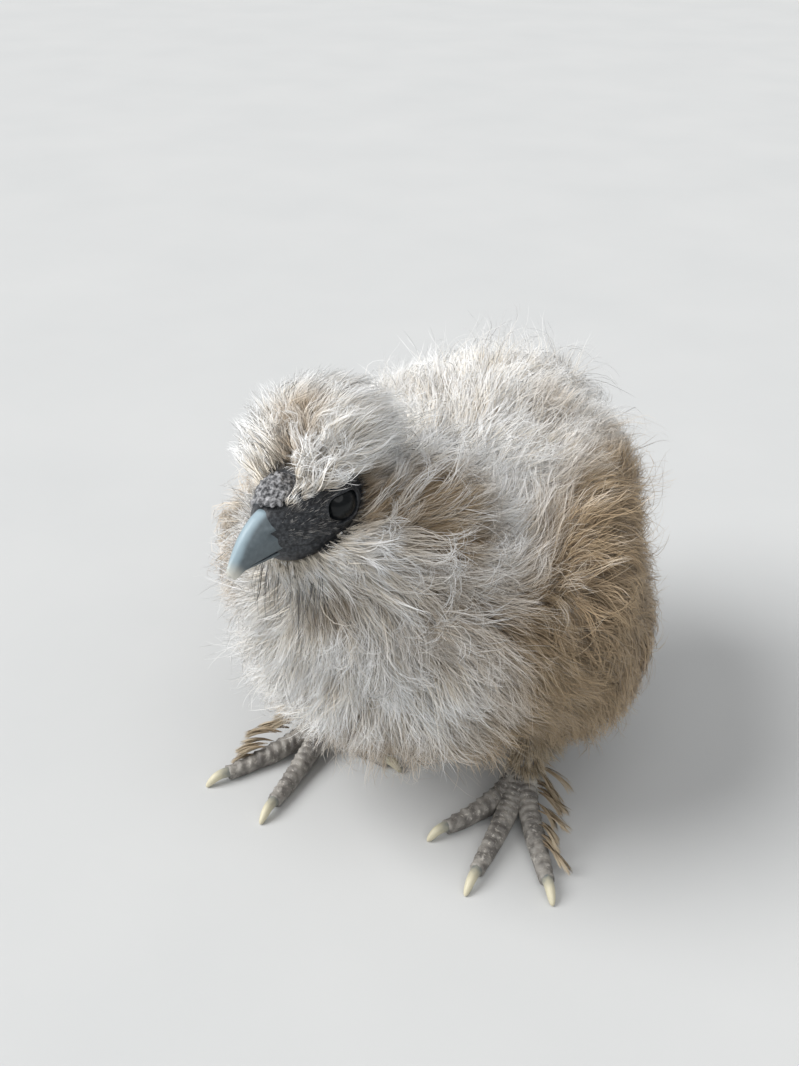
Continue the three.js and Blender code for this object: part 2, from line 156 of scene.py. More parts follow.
HEAD = Place(turn_about("Z", HEAD_YAW) @ turn_about("X", HEAD_PITCH), HEAD_AT)
BIRD = Place(np.eye(3), (0, 0, 0))
eye_box = np.array([list(corner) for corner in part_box("eye_left")])
SHIFT = eye_box.mean(axis=0) / MM - HEAD.out(EYE_AT)
print("shift in mm", SHIFT.round(2))


def to_frame(points):
    """Drawing millimetres to the frame's metres."""
    return (points + SHIFT) * MM


# %% [markdown]
# ## The flesh as a field
# The solids are built of eggs. A distance can be worked out from any point to each egg, and
# a soft minimum of those distances is a field whose zero surface runs smoothly from neck to
# back to thigh with no crease. The same field gives the skin its shape and tells every
# strand which way is out, so plumage flows over joins as it does on a bird.

# %% Eggs of flesh
SKIN_DEPTH = 3.0
SOFTNESS = 5.0


class Egg:
    """Half its width and height, its length to each end and its taper, set along a way."""

    def __init__(self, at, wide, high, near, far, taper=0.0, way=(0, 1, 0), on=BIRD, sunk=SKIN_DEPTH):
        y = unit(np.array(way, float))
        x = unit(np.array([1.0, 0, 0]) - y * y[0])
        turn = on.turn @ np.column_stack([x, y, np.cross(x, y)])
        self.place = Place(turn, on.out(np.array(at, float)))
        self.wide, self.high, self.taper = wide, high, taper
        self.near, self.far, self.sunk = near, far, sunk

    def half(self, t):
        """Half width, length and height for t from -1 at the near end to 1 at the far end."""
        narrow = 1 - self.taper * np.clip(t, -1, 1)
        length = np.where(t < 0, self.near, self.far)
        return np.stack([self.wide * narrow, length, self.high * narrow], axis=-1)

    def distance(self, p):
        """How far outside the skin's depth each point is, and which way is out."""
        q = self.place.back(p)
        half = self.half(q[..., 1] / np.where(q[..., 1] < 0, self.near, self.far))
        s = q / half
        reach = np.linalg.norm(s, axis=-1)
        slope = s / half
        size = np.maximum(np.linalg.norm(slope, axis=-1), 1e-6)
        out = (slope / size[..., None]) @ self.place.turn.T
        return (reach - 1) * reach / size + self.sunk, out

    def surface(self, s):
        """Points of the egg's skin for points of the unit ball."""
        p = s * (self.half(s[..., 1]) - self.sunk)
        return self.place.out(p)


def mirror_egg(egg):
    twin = Egg((0, 0, 0), egg.wide, egg.high, egg.near, egg.far, egg.taper, sunk=egg.sunk)
    flip = np.diag([-1.0, 1, 1])
    twin.place = Place(flip @ egg.place.turn @ flip, egg.place.at * [-1, 1, 1])
    return twin


EGGS = {
    "torso": Egg([0, 0, 76], 48, 40, 56, 82, 0.12, (0, 1, 0.22)),
    "cushion": Egg([0, 53, 90], 35, 31, 34, 33, 0.1, (0, 1, 0.25)),
    "neck": Egg([-8, -32, 103], 26, 27, 22, 30, -0.12, (0.25, 0.5, -0.85)),
    "thigh_left": Egg([45, 9, 59], 20, 23, 22, 28, 0.2, (-0.1, -0.18, -1)),
    "wing_left": Egg([45, 14, 87], 10, 20, 38, 58, 0.15, (-0.27, 1, 0.1), sunk=2),
    "rump": Egg([0, 80, 101], 18, 10, 12, 15, 0.2, (0, 1, 0.5)),
    "skull": Egg([0, 0, 0], 12, 12.5, 16.5, 16.5, on=HEAD, sunk=0),
    "crest": Egg([0, 5, 16], 15, 12, 12, 15, on=HEAD, sunk=6),
    "muffs": Egg([0, 2, -12], 17, 8, 13, 15, on=HEAD, sunk=4),
}
for side in ("thigh", "wing"):
    EGGS[f"{side}_right"] = mirror_egg(EGGS[f"{side}_left"])
ZONES = list(EGGS)


def blended(eggs, softness, p):
    """How far points are out of the eggs' soft union, the way out, and each egg's share there."""
    pairs = [egg.distance(p) for egg in eggs.values()]
    away = np.stack([pair[0] for pair in pairs], axis=-1)
    outs = np.stack([pair[1] for pair in pairs], axis=-2)
    low = away.min(axis=-1, keepdims=True)
    share = np.exp((low - away) / softness)
    total = share.sum(axis=-1, keepdims=True)
    share = share / total
    depth = low[..., 0] - softness * np.log(total[..., 0])
    return depth, unit(np.sum(outs * share[..., None], axis=-2)), share


def feel(p):
    """The same for the whole bird."""
    return blended(EGGS, SOFTNESS, p)


def settle(eggs, softness, p, most):
    """Moves points out or in, by steps of so much at most, until they lie on the union."""
    for _ in range(3):
        depth, out, _ = blended(eggs, softness, p)
        p = p - out * np.clip(depth, -most, most)[..., None]
    return p


print("skin under the middle of the back", feel(np.array([[0.0, 20, 120]]))[0].round(1))

# %% [markdown]
# ## Meshes from arrays
# A loft is a stack of closed rings joined by quads, with a fan at each end. Beaks, claws and
# toes are all lofts whose rings come from a short formula, and an egg is a loft too. Where
# many lofts have to become one smooth surface they are joined by Blender's voxel remesh, and
# where a clean edge is wanted, such as a lid, by a Boolean.

# %% Making and joining meshes
def link(name, mesh):
    piece = bpy.data.objects.new(name, mesh)
    bpy.context.scene.collection.objects.link(piece)
    return piece


def mesh_piece(name, points, faces, soft=True):
    mesh = bpy.data.meshes.new(name)
    mesh.from_pydata(to_frame(points).tolist(), [], faces)
    mesh.polygons.foreach_set("use_smooth", [soft] * len(mesh.polygons))
    mesh.update()
    return link(name, mesh)


def loft(rings):
    """Points and faces of a closed loft. rings is an array (ring, point, xyz)."""
    count, sides, _ = rings.shape
    ends = np.stack([rings[0].mean(axis=0), rings[-1].mean(axis=0)])
    points = np.concatenate([rings.reshape(-1, 3), ends])
    faces = []
    for i in range(count - 1):
        for j in range(sides):
            k = (j + 1) % sides
            faces.append((i * sides + j, i * sides + k, (i + 1) * sides + k, (i + 1) * sides + j))
    first, last = count * sides, count * sides + 1
    for j in range(sides):
        k = (j + 1) % sides
        faces.append((first, k, j))
        faces.append((last, (count - 1) * sides + j, (count - 1) * sides + k))
    return points, faces


def gathered(parts):
    """Several (points, faces) as one."""
    points, faces, start = [], [], 0
    for part_points, part_faces in parts:
        points.append(part_points)
        faces += [tuple(start + i for i in face) for face in part_faces]
        start += len(part_points)
    return np.concatenate(points), faces


def round_ball(sides, rings):
    """A loft of the unit ball along its y axis."""
    lat = np.linspace(-math.pi / 2, math.pi / 2, rings + 2)[1:-1, None]
    lon = np.linspace(0, 2 * math.pi, sides, endpoint=False)[None, :]
    points, faces = loft(stacked(np.cos(lat) * np.cos(lon), np.sin(lat), -np.cos(lat) * np.sin(lon)))
    points[-2:] = [[0, -1, 0], [0, 1, 0]]
    return points, faces


def placed(part, place):
    points, faces = part
    return place.out(points), faces


def finished_mesh(piece, name):
    """The piece's mesh with its modifiers applied, as a new mesh."""
    ready = piece.evaluated_get(bpy.context.evaluated_depsgraph_get())
    mesh = bpy.data.meshes.new_from_object(ready)
    mesh.name = name
    return mesh


def drop(piece):
    mesh = piece.data
    bpy.data.objects.remove(piece)
    bpy.data.meshes.remove(mesh)


def points_of(mesh):
    points = np.empty(3 * len(mesh.vertices), np.float32)
    mesh.vertices.foreach_get("co", points)
    return points.reshape(-1, 3).astype(float) / MM - SHIFT


def fill(rows, key, values, kind=np.float32):
    """Sets one value of every point, corner or face of a mesh at once."""
    rows.foreach_set(key, np.asarray(values, kind).ravel())


def set_points(mesh, points):
    fill(mesh.vertices, "co", to_frame(points))
    mesh.update()


def remeshed(name, parts, voxel):
    """The parts as one closed surface of even quads."""
    rough = mesh_piece(name + "_rough", *gathered(parts))
    voxels = rough.modifiers.new("Voxels", "REMESH")
    voxels.mode = "VOXEL"
    voxels.voxel_size = voxel * MM
    voxels.use_smooth_shade = True
    mesh = finished_mesh(rough, name)
    drop(rough)
    return link(name, mesh)


def boolean(piece, others, operation):
    """Joins to or cuts from a piece, in place."""
    for other in others:
        step = piece.modifiers.new("Join", "BOOLEAN")
        step.operation = operation
        step.solver = "MANIFOLD"
        step.object = other
    mesh = finished_mesh(piece, piece.name)
    piece.modifiers.clear()
    old = piece.data
    piece.data = mesh
    bpy.data.meshes.remove(old)
    for other in others:
        drop(other)


def egg_part(egg):
    points, faces = round_ball(48, 30)
    return egg.surface(points), faces


# %% [markdown]
# ## Wrinkles
# Skin is never smooth. A few waves in odd directions, added up, give a soft uneven field that
# costs almost nothing, and pushing points along it makes creases.

# %% A soft uneven field
def ripple(p, size, seed, waves=7):
    """An uneven value between about -1 and 1 that changes over the given size in mm."""
    roll = np.random.default_rng(seed)
    ways = unit(roll.normal(size=(waves, 3))) * roll.uniform(0.7, 1.5, (waves, 1)) * math.pi / size
    phases = roll.uniform(0, 2 * math.pi, waves)
    return np.sin(p @ ways.T + phases).mean(axis=-1) * math.sqrt(2 * waves) / 2


# %% [markdown]
# ## The bare face
# A silkie's face is dark, fine wrinkled skin from the beak to behind the eye. The skull is an
# egg with a brow, a cere round the root of the beak and a ball of lid over each eye, blended
# by the same soft minimum, and remeshed finely. Each lid is then opened with a smooth plug,
# which leaves a clean rim that the eyeball fills.

# %% Head skin
HEAD_SOFTNESS = 1.6
HEAD_VOXEL = 0.36
LID = 5.75
BALL = 5.6
OPENING = (5.1, 4.6)
EYE_WAY = np.array([1.0, -0.24, 0.05])
HEAD_EGGS = {
    "skull": EGGS["skull"],
    "crest": EGGS["crest"],
    "muffs": EGGS["muffs"],
    "cere": Egg([0, -13.8, -0.4], 6.0, 6.9, 5.5, 5.5, on=HEAD, sunk=0),
    "jaw": Egg([0, -8, -7.5], 8.0, 5.0, 8.5, 9, on=HEAD, sunk=0),
}
for turn in TURNS.values():
    HEAD_EGGS[f"lid{turn}"] = Egg(EYE_AT * [turn, 1, 1], LID, LID, LID, LID, on=HEAD, sunk=0)
    HEAD_EGGS[f"brow{turn}"] = Egg([turn * 7.6, -0.6, 7.4], 3.4, 2.6, 5, 5, on=HEAD, sunk=0)


def eye_frame(turn):
    """The side, the look and the upper way of an eye, which looks out and a little forward."""
    axis = unit(EYE_WAY * [turn, 1, 1])
    side = unit(np.cross([0, 0, 1.0], axis))
    return side, axis, np.cross(axis, side)


def eye_rings(q):
    """The distance of head points from the nearer eye's axis, and their height on it."""
    signs = side_signs(q)
    axis = unit(EYE_WAY * signs)
    away = q - EYE_AT * signs
    height = along_dots(away, axis)
    return np.linalg.norm(away - height * axis, axis=1), height[:, 0]


FACE_FROM, FACE_TO = np.array([-15.5, -2.4]), np.array([1.0, 2.6])
FACE_HALF = 7.6


def face_gap(q):
    """How far head points lie outside the bare face, seen from the side."""
    line = FACE_TO - FACE_FROM
    p = q[..., 1:]
    t = np.clip((p - FACE_FROM) @ line / (line @ line), 0, 1)[..., None]
    return np.linalg.norm(p - FACE_FROM - t * line, axis=-1) - FACE_HALF


def comb_gap(q):
    """How far head points lie outside the comb's foot, seen from above."""
    apart = (q - [0, -11.0, 0]) / [4.9, 6.8, 1]
    return (np.linalg.norm(apart[..., :2], axis=-1) - 1) * 5.5 + 20 * (q[..., 2] < 3)


def bareness(q):
    """1 on the bare face, 0 under the plumage."""
    return 1 - smooth(0, 1.4, face_gap(q))


def head_skin():
    skin = remeshed("head_skin", [egg_part(egg) for egg in HEAD_EGGS.values()], HEAD_VOXEL)
    points = settle(HEAD_EGGS, HEAD_SOFTNESS, points_of(skin.data), 2)
    out = blended(HEAD_EGGS, HEAD_SOFTNESS, points)[1]
    q = HEAD.back(points)
    ring, height = eye_rings(q)
    bare = bareness(q)
    near_eye = (1 - smooth(5.5, 10, ring)) * (height > 0)
    folds = 0.16 * np.sin(ring * 5.2 + 1.4 * ripple(q, 5, 3)) * near_eye * smooth(4.6, 5.4, ring)
    grain = 0.13 * ripple(q, 1.5, 5, 9) + 0.2 * ripple(q, 4, 6)
    gape = np.exp(-(((q[:, 2] + 5.6 + 0.12 * (q[:, 1] + 10)) / 0.55) ** 2)) * smooth(-5, -9, q[:, 1])
    lift = bare * (folds + grain * smooth(4.6, 6, ring) - 0.45 * gape)
    set_points(skin.data, points + out * lift[:, None])
    plugs = []
    angle = np.linspace(0, 2 * math.pi, 64, endpoint=False)
    for turn in TURNS.values():
        side, axis, up = eye_frame(turn)
        wide, high = OPENING
        almond = wide * np.cos(angle)[:, None] * side + high * np.sin(angle)[:, None] * up
        almond = almond * (1 - 0.07 * np.cos(4 * angle))[:, None]
        middle = EYE_AT * [turn, 1, 1]
        heights = [(0.5, 0.9), (3.0, 0.98), (4.4, 1.0), (5.0, 1.05), (7.5, 1.5)]
        rings = np.stack([middle + h * axis + s * almond for h, s in heights])
        plugs.append(mesh_piece(f"plug{turn}", *placed(loft(rings), HEAD)))
    boolean(skin, plugs, "DIFFERENCE")
    return skin


# %% [markdown]
# ## Feet
# A silkie has five toes. Each is a tube along a smooth line with a row of broad plates down its
# upper side, every plate rising to its far edge, small round scales on the flanks and soft
# pads below, flattened where the foot bears on the floor. The relief is in the mesh, because
# its pale edges catch the light in a way that a bump map can't.

# %% Toes, shank and pad
FOOT_AT = np.array([36.5, -5.5])
TOES = {
    "middle": {"tip": (36.2, -54.3), "claw": 10.5, "plates": 13},
    "hind": {"tip": (30.5, 21.0), "claw": 7.5, "plates": 6},
    "inner": {"tip": (16.4, -38.1), "claw": 8.5, "plates": 9},
    "outer": {"tip": (61.9, -46.7), "claw": 9.5, "plates": 12},
}
TUCKED_TOE = {"tip": (5.0, -12.0), "claw": 7.5, "plates": 8}
FEET = {"left": TOES, "right": {**TOES, "inner": TUCKED_TOE}}
FIFTH_FRONT = np.array([0.5, -0.6, 0.7])
UP = np.array([0.0, 0, 1])
PLATE_RISE = 0.75
FLAT = 0.02


def curve(stops, t):
    """Points of a smooth line through the stops, for t from 0 to 1."""
    stops = np.asarray(stops, float)
    padded = np.concatenate([[2 * stops[0] - stops[1]], stops, [2 * stops[-1] - stops[-2]]])
    x = np.clip(np.asarray(t, float), 0, 1) * (len(stops) - 1)
    i = np.minimum(x.astype(int), len(stops) - 2)
    f = (x - i)[..., None]
    a, b, c, d = (padded[i + k] for k in range(4))
    return b + 0.5 * f * (c - a + f * (2 * a - 5 * b + 4 * c - d + f * (3 * (b - c) + d - a)))


def curve_frame(stops, t, front):
    """Points of a line with its side and its upper way at each."""
    points = curve(stops, t)
    along = unit(np.gradient(points, axis=0))
    side = unit(np.cross(along, front))
    return points, side, np.cross(side, along)


def scaly_tube(stops, radii, plates, front=UP, sides=28, steps=6, seed=0):
    """A toe or shank with plates along its upper side and round scales on its flanks."""
    t = np.linspace(0, 1, plates * steps + 1)
    points, side, up = curve_frame(stops, t, front)
    radius = curve(np.array(radii, float)[:, None], t)[:, 0]
    angle = np.linspace(0, 2 * math.pi, sides, endpoint=False)
    u, a = np.meshgrid(t * plates, angle, indexing="ij")
    shift = 0.22 * np.sin(3 * a + seed)
    rise = np.mod(u + shift * np.cos(a) ** 2, 1.0)
    upper = smooth(0.05, 0.6, np.sin(a))
    plate = PLATE_RISE * (rise ** 1.6 - 0.35) * upper
    rows = np.sin(a * 7) * np.sin(u * 2 * math.pi * 1.3 + np.round(a * 7 / math.pi) * math.pi / 2)
    flank = 0.16 * np.abs(rows) ** 0.7 * (1 - upper) * smooth(-0.75, -0.3, np.sin(a))
    pads = 0.3 * np.abs(np.sin(u * math.pi * 0.33)) * smooth(-0.2, -0.8, np.sin(a))
    reach = radius[:, None] + plate + flank + pads
    reach = reach + 0.1 * ripple(np.stack([u, 3 * np.cos(a), 3 * np.sin(a)], axis=-1), 1.1, 30 + seed)
    rings = points[:, None] + reach[..., None] * (
        np.cos(a)[..., None] * side[:, None] + np.sin(a)[..., None] * up[:, None]
    )
    rings[..., 2] = np.maximum(rings[..., 2], FLAT)
    return loft(rings)


def toe_line(tip, claw):
    tip = np.array(tip)
    reach = np.linalg.norm(tip - FOOT_AT)
    end = reach - claw

    def at(distance, height):
        return [*(FOOT_AT + (tip - FOOT_AT) * distance / reach), height]

    toe = [at(4, 8.5), at(blend(4, end, 0.25), 5), at(blend(4, end, 0.6), 2.9), at(end + 1, 2.5)]
    return toe, [at(end - 0.8, 2.6), at(end + 0.5 * claw, 3.0), at(reach, 0.45)]


def foot_parts(toes):
    parts = []
    for i, spec in enumerate(toes.values()):
        toe, _ = toe_line(spec["tip"], spec["claw"])
        parts.append(scaly_tube(toe, [3.9, 3.5, 3.1, 2.3], spec["plates"], seed=i))
    fifth = [[33, 0, 11], [29, 5, 11.5], [26.5, 9, 13.5]]
    parts.append(scaly_tube(fifth, [3.2, 2.9, 2.2], 5, front=FIFTH_FRONT, seed=7))
    shank = [[39, 4.5, 40], [38.5, 3, 28], [37, -3, 16], [*FOOT_AT, 8]]
    parts.append(scaly_tube(shank, [4.6, 4.1, 3.9, 5], 13, front=np.array([0, -1.0, 0]), seed=9))
    points, faces = round_ball(36, 20)
    pad = points * [7.4, 7.4, 6.2] + [FOOT_AT[0], FOOT_AT[1] - 0.5, 7.6]
    pad = pad + points * 0.35 * np.abs(ripple(pad, 1.6, 41))[:, None]
    pad[:, 2] = np.maximum(pad[:, 2], FLAT)
    parts.append((pad, faces))
    return parts


def on_side(part, side):
    """A part drawn on the bird's left, mirrored if it belongs on the right."""
    if side == "left":
        return part
    points, faces = part
    return points * [-1, 1, 1], [tuple(reversed(face)) for face in faces]


# %% [markdown]
# ## One skin
# The body's eggs are remeshed and then drawn onto the zero surface of the field, which melts
# the joins. The head, and each foot, are finer meshes that meet it under the plumage, and one
# Boolean makes them a single closed skin. It takes the place of all the fleshy solids.

# %% Body skin and the union
BODY_EGGS = [name for name in ZONES if name not in ("skull", "crest", "muffs")]
SKIN_VOXEL = 1.3
skin = remeshed("skin", [egg_part(EGGS[name]) for name in BODY_EGGS], SKIN_VOXEL)
set_points(skin.data, settle(EGGS, SOFTNESS, points_of(skin.data), 4))
joined = [head_skin()]
for side, toes in FEET.items():
    for part in foot_parts(toes):
        joined.append(mesh_piece("foot_part", *on_side(part, side)))
boolean(skin, joined, "UNION")
skin.data.polygons.foreach_set("use_smooth", [True] * len(skin.data.polygons))
print("skin faces", len(skin.data.polygons))

# %% [markdown]
# ## Beak
# The upper half is a loft whose section has a narrow ridge along the top, swells over the
# nostril and hooks down to a blunt tip; the lower half is a shallower trough that closes
# against it. The mouth line is the real gap between the two.

# %% Upper and lower beak
BEAK_FROM, BEAK_TO = -9.5, -30.8
NOSTRIL = np.array([4.6, -18.0, 0.6])


def gape_height(t):
    """The height of the mouth line along the beak."""
    return -5.4 - 1.4 * t ** 2.2


def beak_middle(t):
    return -0.8 - 5.8 * t ** 3


def upper_beak():
    t = np.linspace(0, 1, 60)[:, None]
    a = np.linspace(0, 2 * math.pi, 56, endpoint=False)[None, :]
    wide = blend(6.0, 1.3, t ** 1.7)
    top = beak_middle(t) + blend(7.3, 1.6, t ** 3)
    low = gape_height(t) - 1.5 * smooth(0.75, 1.0, t) - 0.25
    middle = blend(low, top, 0.32)
    up = np.maximum(np.sin(a), 0) ** 0.9 * (top - middle)
    down = -np.maximum(-np.sin(a), 0) ** 0.35 * (middle - low)
    ridge = 1 - 0.24 * smooth(0.35, 0.95, np.sin(a))
    x = wide * np.sign(np.cos(a)) * np.abs(np.cos(a)) ** 0.85 * ridge
    y = blend(BEAK_FROM, BEAK_TO, t) - 0.5 * smooth(0.85, 1, t) * np.sin(a)
    z = middle + up + down
    rings = stacked(x, y, z)
    away = (rings - NOSTRIL * side_signs(rings)) / [9, 1.5, 0.62]
    near = np.exp(-np.sum(away ** 2, axis=-1))
    flap = np.exp(-np.sum(((away + [0, 0, -1.9]) / [1, 1.3, 0.9]) ** 2, axis=-1))
    rings[..., 0] += np.sign(rings[..., 0]) * (0.35 * flap - 1.1 * near)
    rings[..., 2] += 0.05 * ripple(rings, 1.2, 51)
    return loft(rings)


def lower_beak():
    t = np.linspace(0, 1, 40)[:, None]
    a = np.linspace(0, 2 * math.pi, 40, endpoint=False)[None, :]
    wide = blend(5.3, 1.2, t ** 1.5)
    top = gape_height(0.86 * t) - 0.45
    deep = blend(2.9, 1.1, t ** 1.4)
    x = wide * np.cos(a)
    y = blend(BEAK_FROM, BEAK_TO + 3.4, t)
    z = np.where(np.sin(a) >= 0, top, top + deep * np.sin(a))
    rings = stacked(x, y, z)
    rings[..., 2] += 0.04 * ripple(rings, 1.2, 52)
    return loft(rings)


beak_upper = mesh_piece("beak_upper_horn", *placed(upper_beak(), HEAD))
beak_lower = mesh_piece("beak_lower_horn", *placed(lower_beak(), HEAD))

# %% [markdown]
# ## Comb
# A hen's walnut comb is a small cushion of wrinkled warts between beak and crest. Scattered
# balls over a low mound are remeshed into one lump, and a fine uneven field creases it.

# %% Warty comb
WARTS = 120
GOLDEN_TURN = 2.39996
COMB_VOXEL = 0.24


def comb_piece():
    roll = np.random.default_rng(6)
    ball_points, ball_faces = round_ball(14, 8)
    parts = [(ball_points * [4.9, 6.5, 3.7] + [0, -11, 9.2], ball_faces)]
    for i in range(WARTS):
        turn = i * GOLDEN_TURN
        out = math.sqrt((i + 0.5) / WARTS)
        size = roll.uniform(0.5, 1.15) * (1.1 - 0.3 * out)
        at = [5.2 * out * math.cos(turn), -11.2 + 7 * out * math.sin(turn), 12.6 - 4.6 * out ** 2]
        parts.append((ball_points * size * [1, 1, 1.15] + at, ball_faces))
    piece = remeshed("comb_warts", [placed(part, HEAD) for part in parts], COMB_VOXEL)
    points = points_of(piece.data)
    q = HEAD.back(points)
    out = unit(q - [0, -11, 7.5]) @ HEAD.turn.T
    set_points(piece.data, points + out * (0.3 * ripple(q, 0.9, 61))[:, None])
    return piece


comb = comb_piece()
print("comb faces", len(comb.data.polygons))

# %% [markdown]
# ## Eyes
# Each eye is a true ball, with its clear front swelling a little past the round, so that the
# highlight sits on it as on a wet eye. The eye is so dark that iris and pupil look as one.

# %% Eyeballs
def eyeball(side):
    points, faces = round_ball(64, 40)
    across, axis, up = eye_frame(TURNS[side])
    swell = 0.2 * smooth(0.72, 1.0, points[:, 1])
    ball = (points * (BALL + swell)[:, None]) @ np.stack([across, axis, -up])
    ball = ball + EYE_AT * [TURNS[side], 1, 1]
    return mesh_piece(f"eye_{side}_ball", HEAD.out(ball), faces)


eyes = {side: eyeball(side) for side in TURNS}
print("eyes", [piece.name for piece in eyes.values()])

# %% [markdown]
# ## Claws
# Blunt curved cones, deeper than they are wide, with a flattened underside.

# %% Claws
CLAW_RINGS, CLAW_SIDES = 22, 24


def claw(stops, front):
    t = np.linspace(0, 1, CLAW_RINGS)
    points, side, up = curve_frame(stops, t, front)
    radius = 2.1 * (1 - 0.35 * t) * (1 - t ** 5) ** 0.5 + 0.1
    a = np.linspace(0, 2 * math.pi, CLAW_SIDES, endpoint=False)[None, :]
    wide = radius[:, None] * 0.86 * np.cos(a)
    high = radius[:, None] * np.where(np.sin(a) < 0, 0.72, 1.0) * np.sin(a)
    rings = points[:, None] + wide[..., None] * side[:, None] + high[..., None] * up[:, None]
    rings[..., 2] = np.maximum(rings[..., 2], FLAT)
    return loft(rings)


def along_map(mesh):
    """A UV map whose v runs from 0 at a claw's first ring to 1 at its last."""
    level = np.concatenate([np.repeat(np.linspace(0, 1, CLAW_RINGS), CLAW_SIDES), [0.0, 1.0]])
    corner = np.empty(len(mesh.loops), np.int32)
    mesh.loops.foreach_get("vertex_index", corner)
    uv = np.stack([np.full(len(corner), 0.5), level[corner]], axis=1)
    fill(mesh.uv_layers.new(name="Along").data, "uv", uv)


claws = {}
for side, toes in FEET.items():
    claw_stops = {name: toe_line(spec["tip"], spec["claw"])[1] for name, spec in toes.items()}
    claw_stops["fifth"] = [[26.0, 9.4, 13.8], [24.8, 11.2, 16.4], [24.2, 11.7, 20.3]]
    for name, stops in claw_stops.items():
        part = claw(stops, FIFTH_FRONT if name == "fifth" else UP)
        piece = mesh_piece(f"claw_{side}_{name}_horn", *on_side(part, side))
        along_map(piece.data)
        claws[f"claw_{side}_{name}"] = piece
print("claws", len(claws))

# %% [markdown]
# ## How plumage lies
# Silkie plumes have no hooks to hold their barbs together, so each one falls apart into long
# soft strands. They all lie away from the head and towards the tail, as water would run, with
# the crest and beard fanning from their own sources. Each egg has its own flow, from a source
# to a drain, and a strand follows the mix of flows where it grows.

# %% The lie of the coat
TAIL_TIP = np.array([0.0, 112, 116])


def flow(source, drain, pull):
    """The way from a source towards a drain, at many points."""
    source, drain = np.asarray(source, float), np.asarray(drain, float)

    def way(p):
        away = p - source
        to = drain - p
        spread = 1 / np.maximum(np.linalg.norm(away, axis=-1, keepdims=True), 1)
        return unit(unit(away) * spread + pull * to / np.maximum(along_dots(to, to), 1))

    return way


def both_sides(way):
    """The same way mirrored to the bird's right."""
    return lambda p: way(p * [-1, 1, 1]) * [-1, 1, 1]


def head_point(*at):
    return HEAD.out(np.array(at, float))


LIES = {
    "torso": flow([-4, -34, 104], TAIL_TIP, 1.2),
    "cushion": flow([0, 10, 128], TAIL_TIP, 1.2),
    "neck": flow([-13, -46, 124], [2, 0, 30], 0.2),
    "thigh_left": flow([46, 4, 110], [40, 18, 0], 1.0),
    "wing_left": flow([38, -50, 98], [34, 104, 70], 1.0),
    "rump": flow([0, 40, 110], [0, 130, 112], 1.0),
    "skull": flow(head_point(0, -17, 2), head_point(0, 40, -20), 0.6),
    "crest": flow(head_point(0, -17, 6), head_point(0, 50, 10), 0.3),
    "muffs": flow(head_point(0, -15, 2), head_point(0, 0, -80), 0.5),
}
for name in ("thigh", "wing"):
    LIES[f"{name}_right"] = both_sides(LIES[f"{name}_left"])
print("ways for", len(LIES), "eggs")


def lie_at(p, out, share, sway):
    """The mixed way at points near the skin, turned by each tuft's own sway."""
    share = share ** 0.45
    share = share / share.sum(axis=1, keepdims=True)
    way = laid_flat(sum(LIES[name](p) * share[:, i: i + 1] for i, name in enumerate(ZONES)), out)
    return way * np.cos(sway) + np.cross(out, way) * np.sin(sway)


# %% [markdown]
# ## Where plumes grow
# Roots are drawn evenly over the skin by picking its faces in proportion to their area. Each
# root belongs to the egg it is nearest to, and so to one piece of the coat. The bare face,
# the feet and the skin right against the comb and beak grow none.

# %% Roots
def skin_triangles():
    mesh = skin.data
    mesh.calc_loop_triangles()
    corners = np.empty(3 * len(mesh.loop_triangles), np.int32)
    mesh.loop_triangles.foreach_get("vertices", corners)
    return points_of(mesh)[corners.reshape(-1, 3)]


TRIANGLES = skin_triangles()
EDGES = TRIANGLES[:, 1:] - TRIANGLES[:, :1]
AREAS = np.linalg.norm(np.cross(EDGES[:, 0], EDGES[:, 1]), axis=1) / 2


def scatter(count):
    """Points spread evenly over the whole skin."""
    pick = CHANCE.choice(len(TRIANGLES), count, p=AREAS / AREAS.sum())
    a, b = np.sqrt(CHANCE.random((count, 1))), CHANCE.random((count, 1))
    corner = TRIANGLES[pick]
    return corner[:, 0] * (1 - a) + corner[:, 1] * a * (1 - b) + corner[:, 2] * a * b


SPOT_COUNT = 80000
DOWN_FROM, DOWN_TO = 15, 36
COAT_FROM = 33
SPOTS = scatter(SPOT_COUNT)
LEG_SPOTS = SPOTS[(SPOTS[:, 2] > DOWN_FROM) & (SPOTS[:, 2] < DOWN_TO)]
SPOTS = SPOTS[SPOTS[:, 2] > COAT_FROM]
NEAREST = np.array(ZONES)[feel(SPOTS)[2].argmax(axis=1)]
HEAD_SPOTS = HEAD.back(SPOTS)
GAP = np.minimum(face_gap(HEAD_SPOTS), comb_gap(HEAD_SPOTS))


def nearest(*names):
    return np.isin(NEAREST, names)


CREST_FROM = 2.5
BELLY_TO = 60
BREAST_TO = -12


def zone_masks():
    """Which root spots belong to each piece of the coat."""
    _, y, z = SPOTS.T
    _, head_y, head_z = HEAD_SPOTS.T
    on_head = nearest("skull", "crest", "muffs") & (GAP > 0.3)
    high = head_z > CREST_FROM
    trunk = nearest("torso")
    low = z < BELLY_TO
    front = (y < BREAST_TO) & ~low
    return {
        "crest": on_head & high,
        "beard": on_head & ~high,
        "hackle": nearest("neck"),
        "breast": trunk & front,
        "back": trunk & ~front & ~low,
        "belly": trunk & low,
        "cushion": nearest("cushion"),
        "tail": nearest("rump"),
        **{name: nearest(name) for name in ("wing_left", "wing_right", "thigh_left", "thigh_right")},
        "cheek_wisps": on_head & (GAP < 5) & (head_y > -4) & (head_z < -2),
        "brow_wisps": on_head & (GAP < 4) & (head_y < 1) & (head_z > 8),
        "ruff_wisps": nearest("neck") & (z > 84) & (y < -16),
        "stray_wisps": ~on_head & (GAP > 4) & (z > 48),
    }


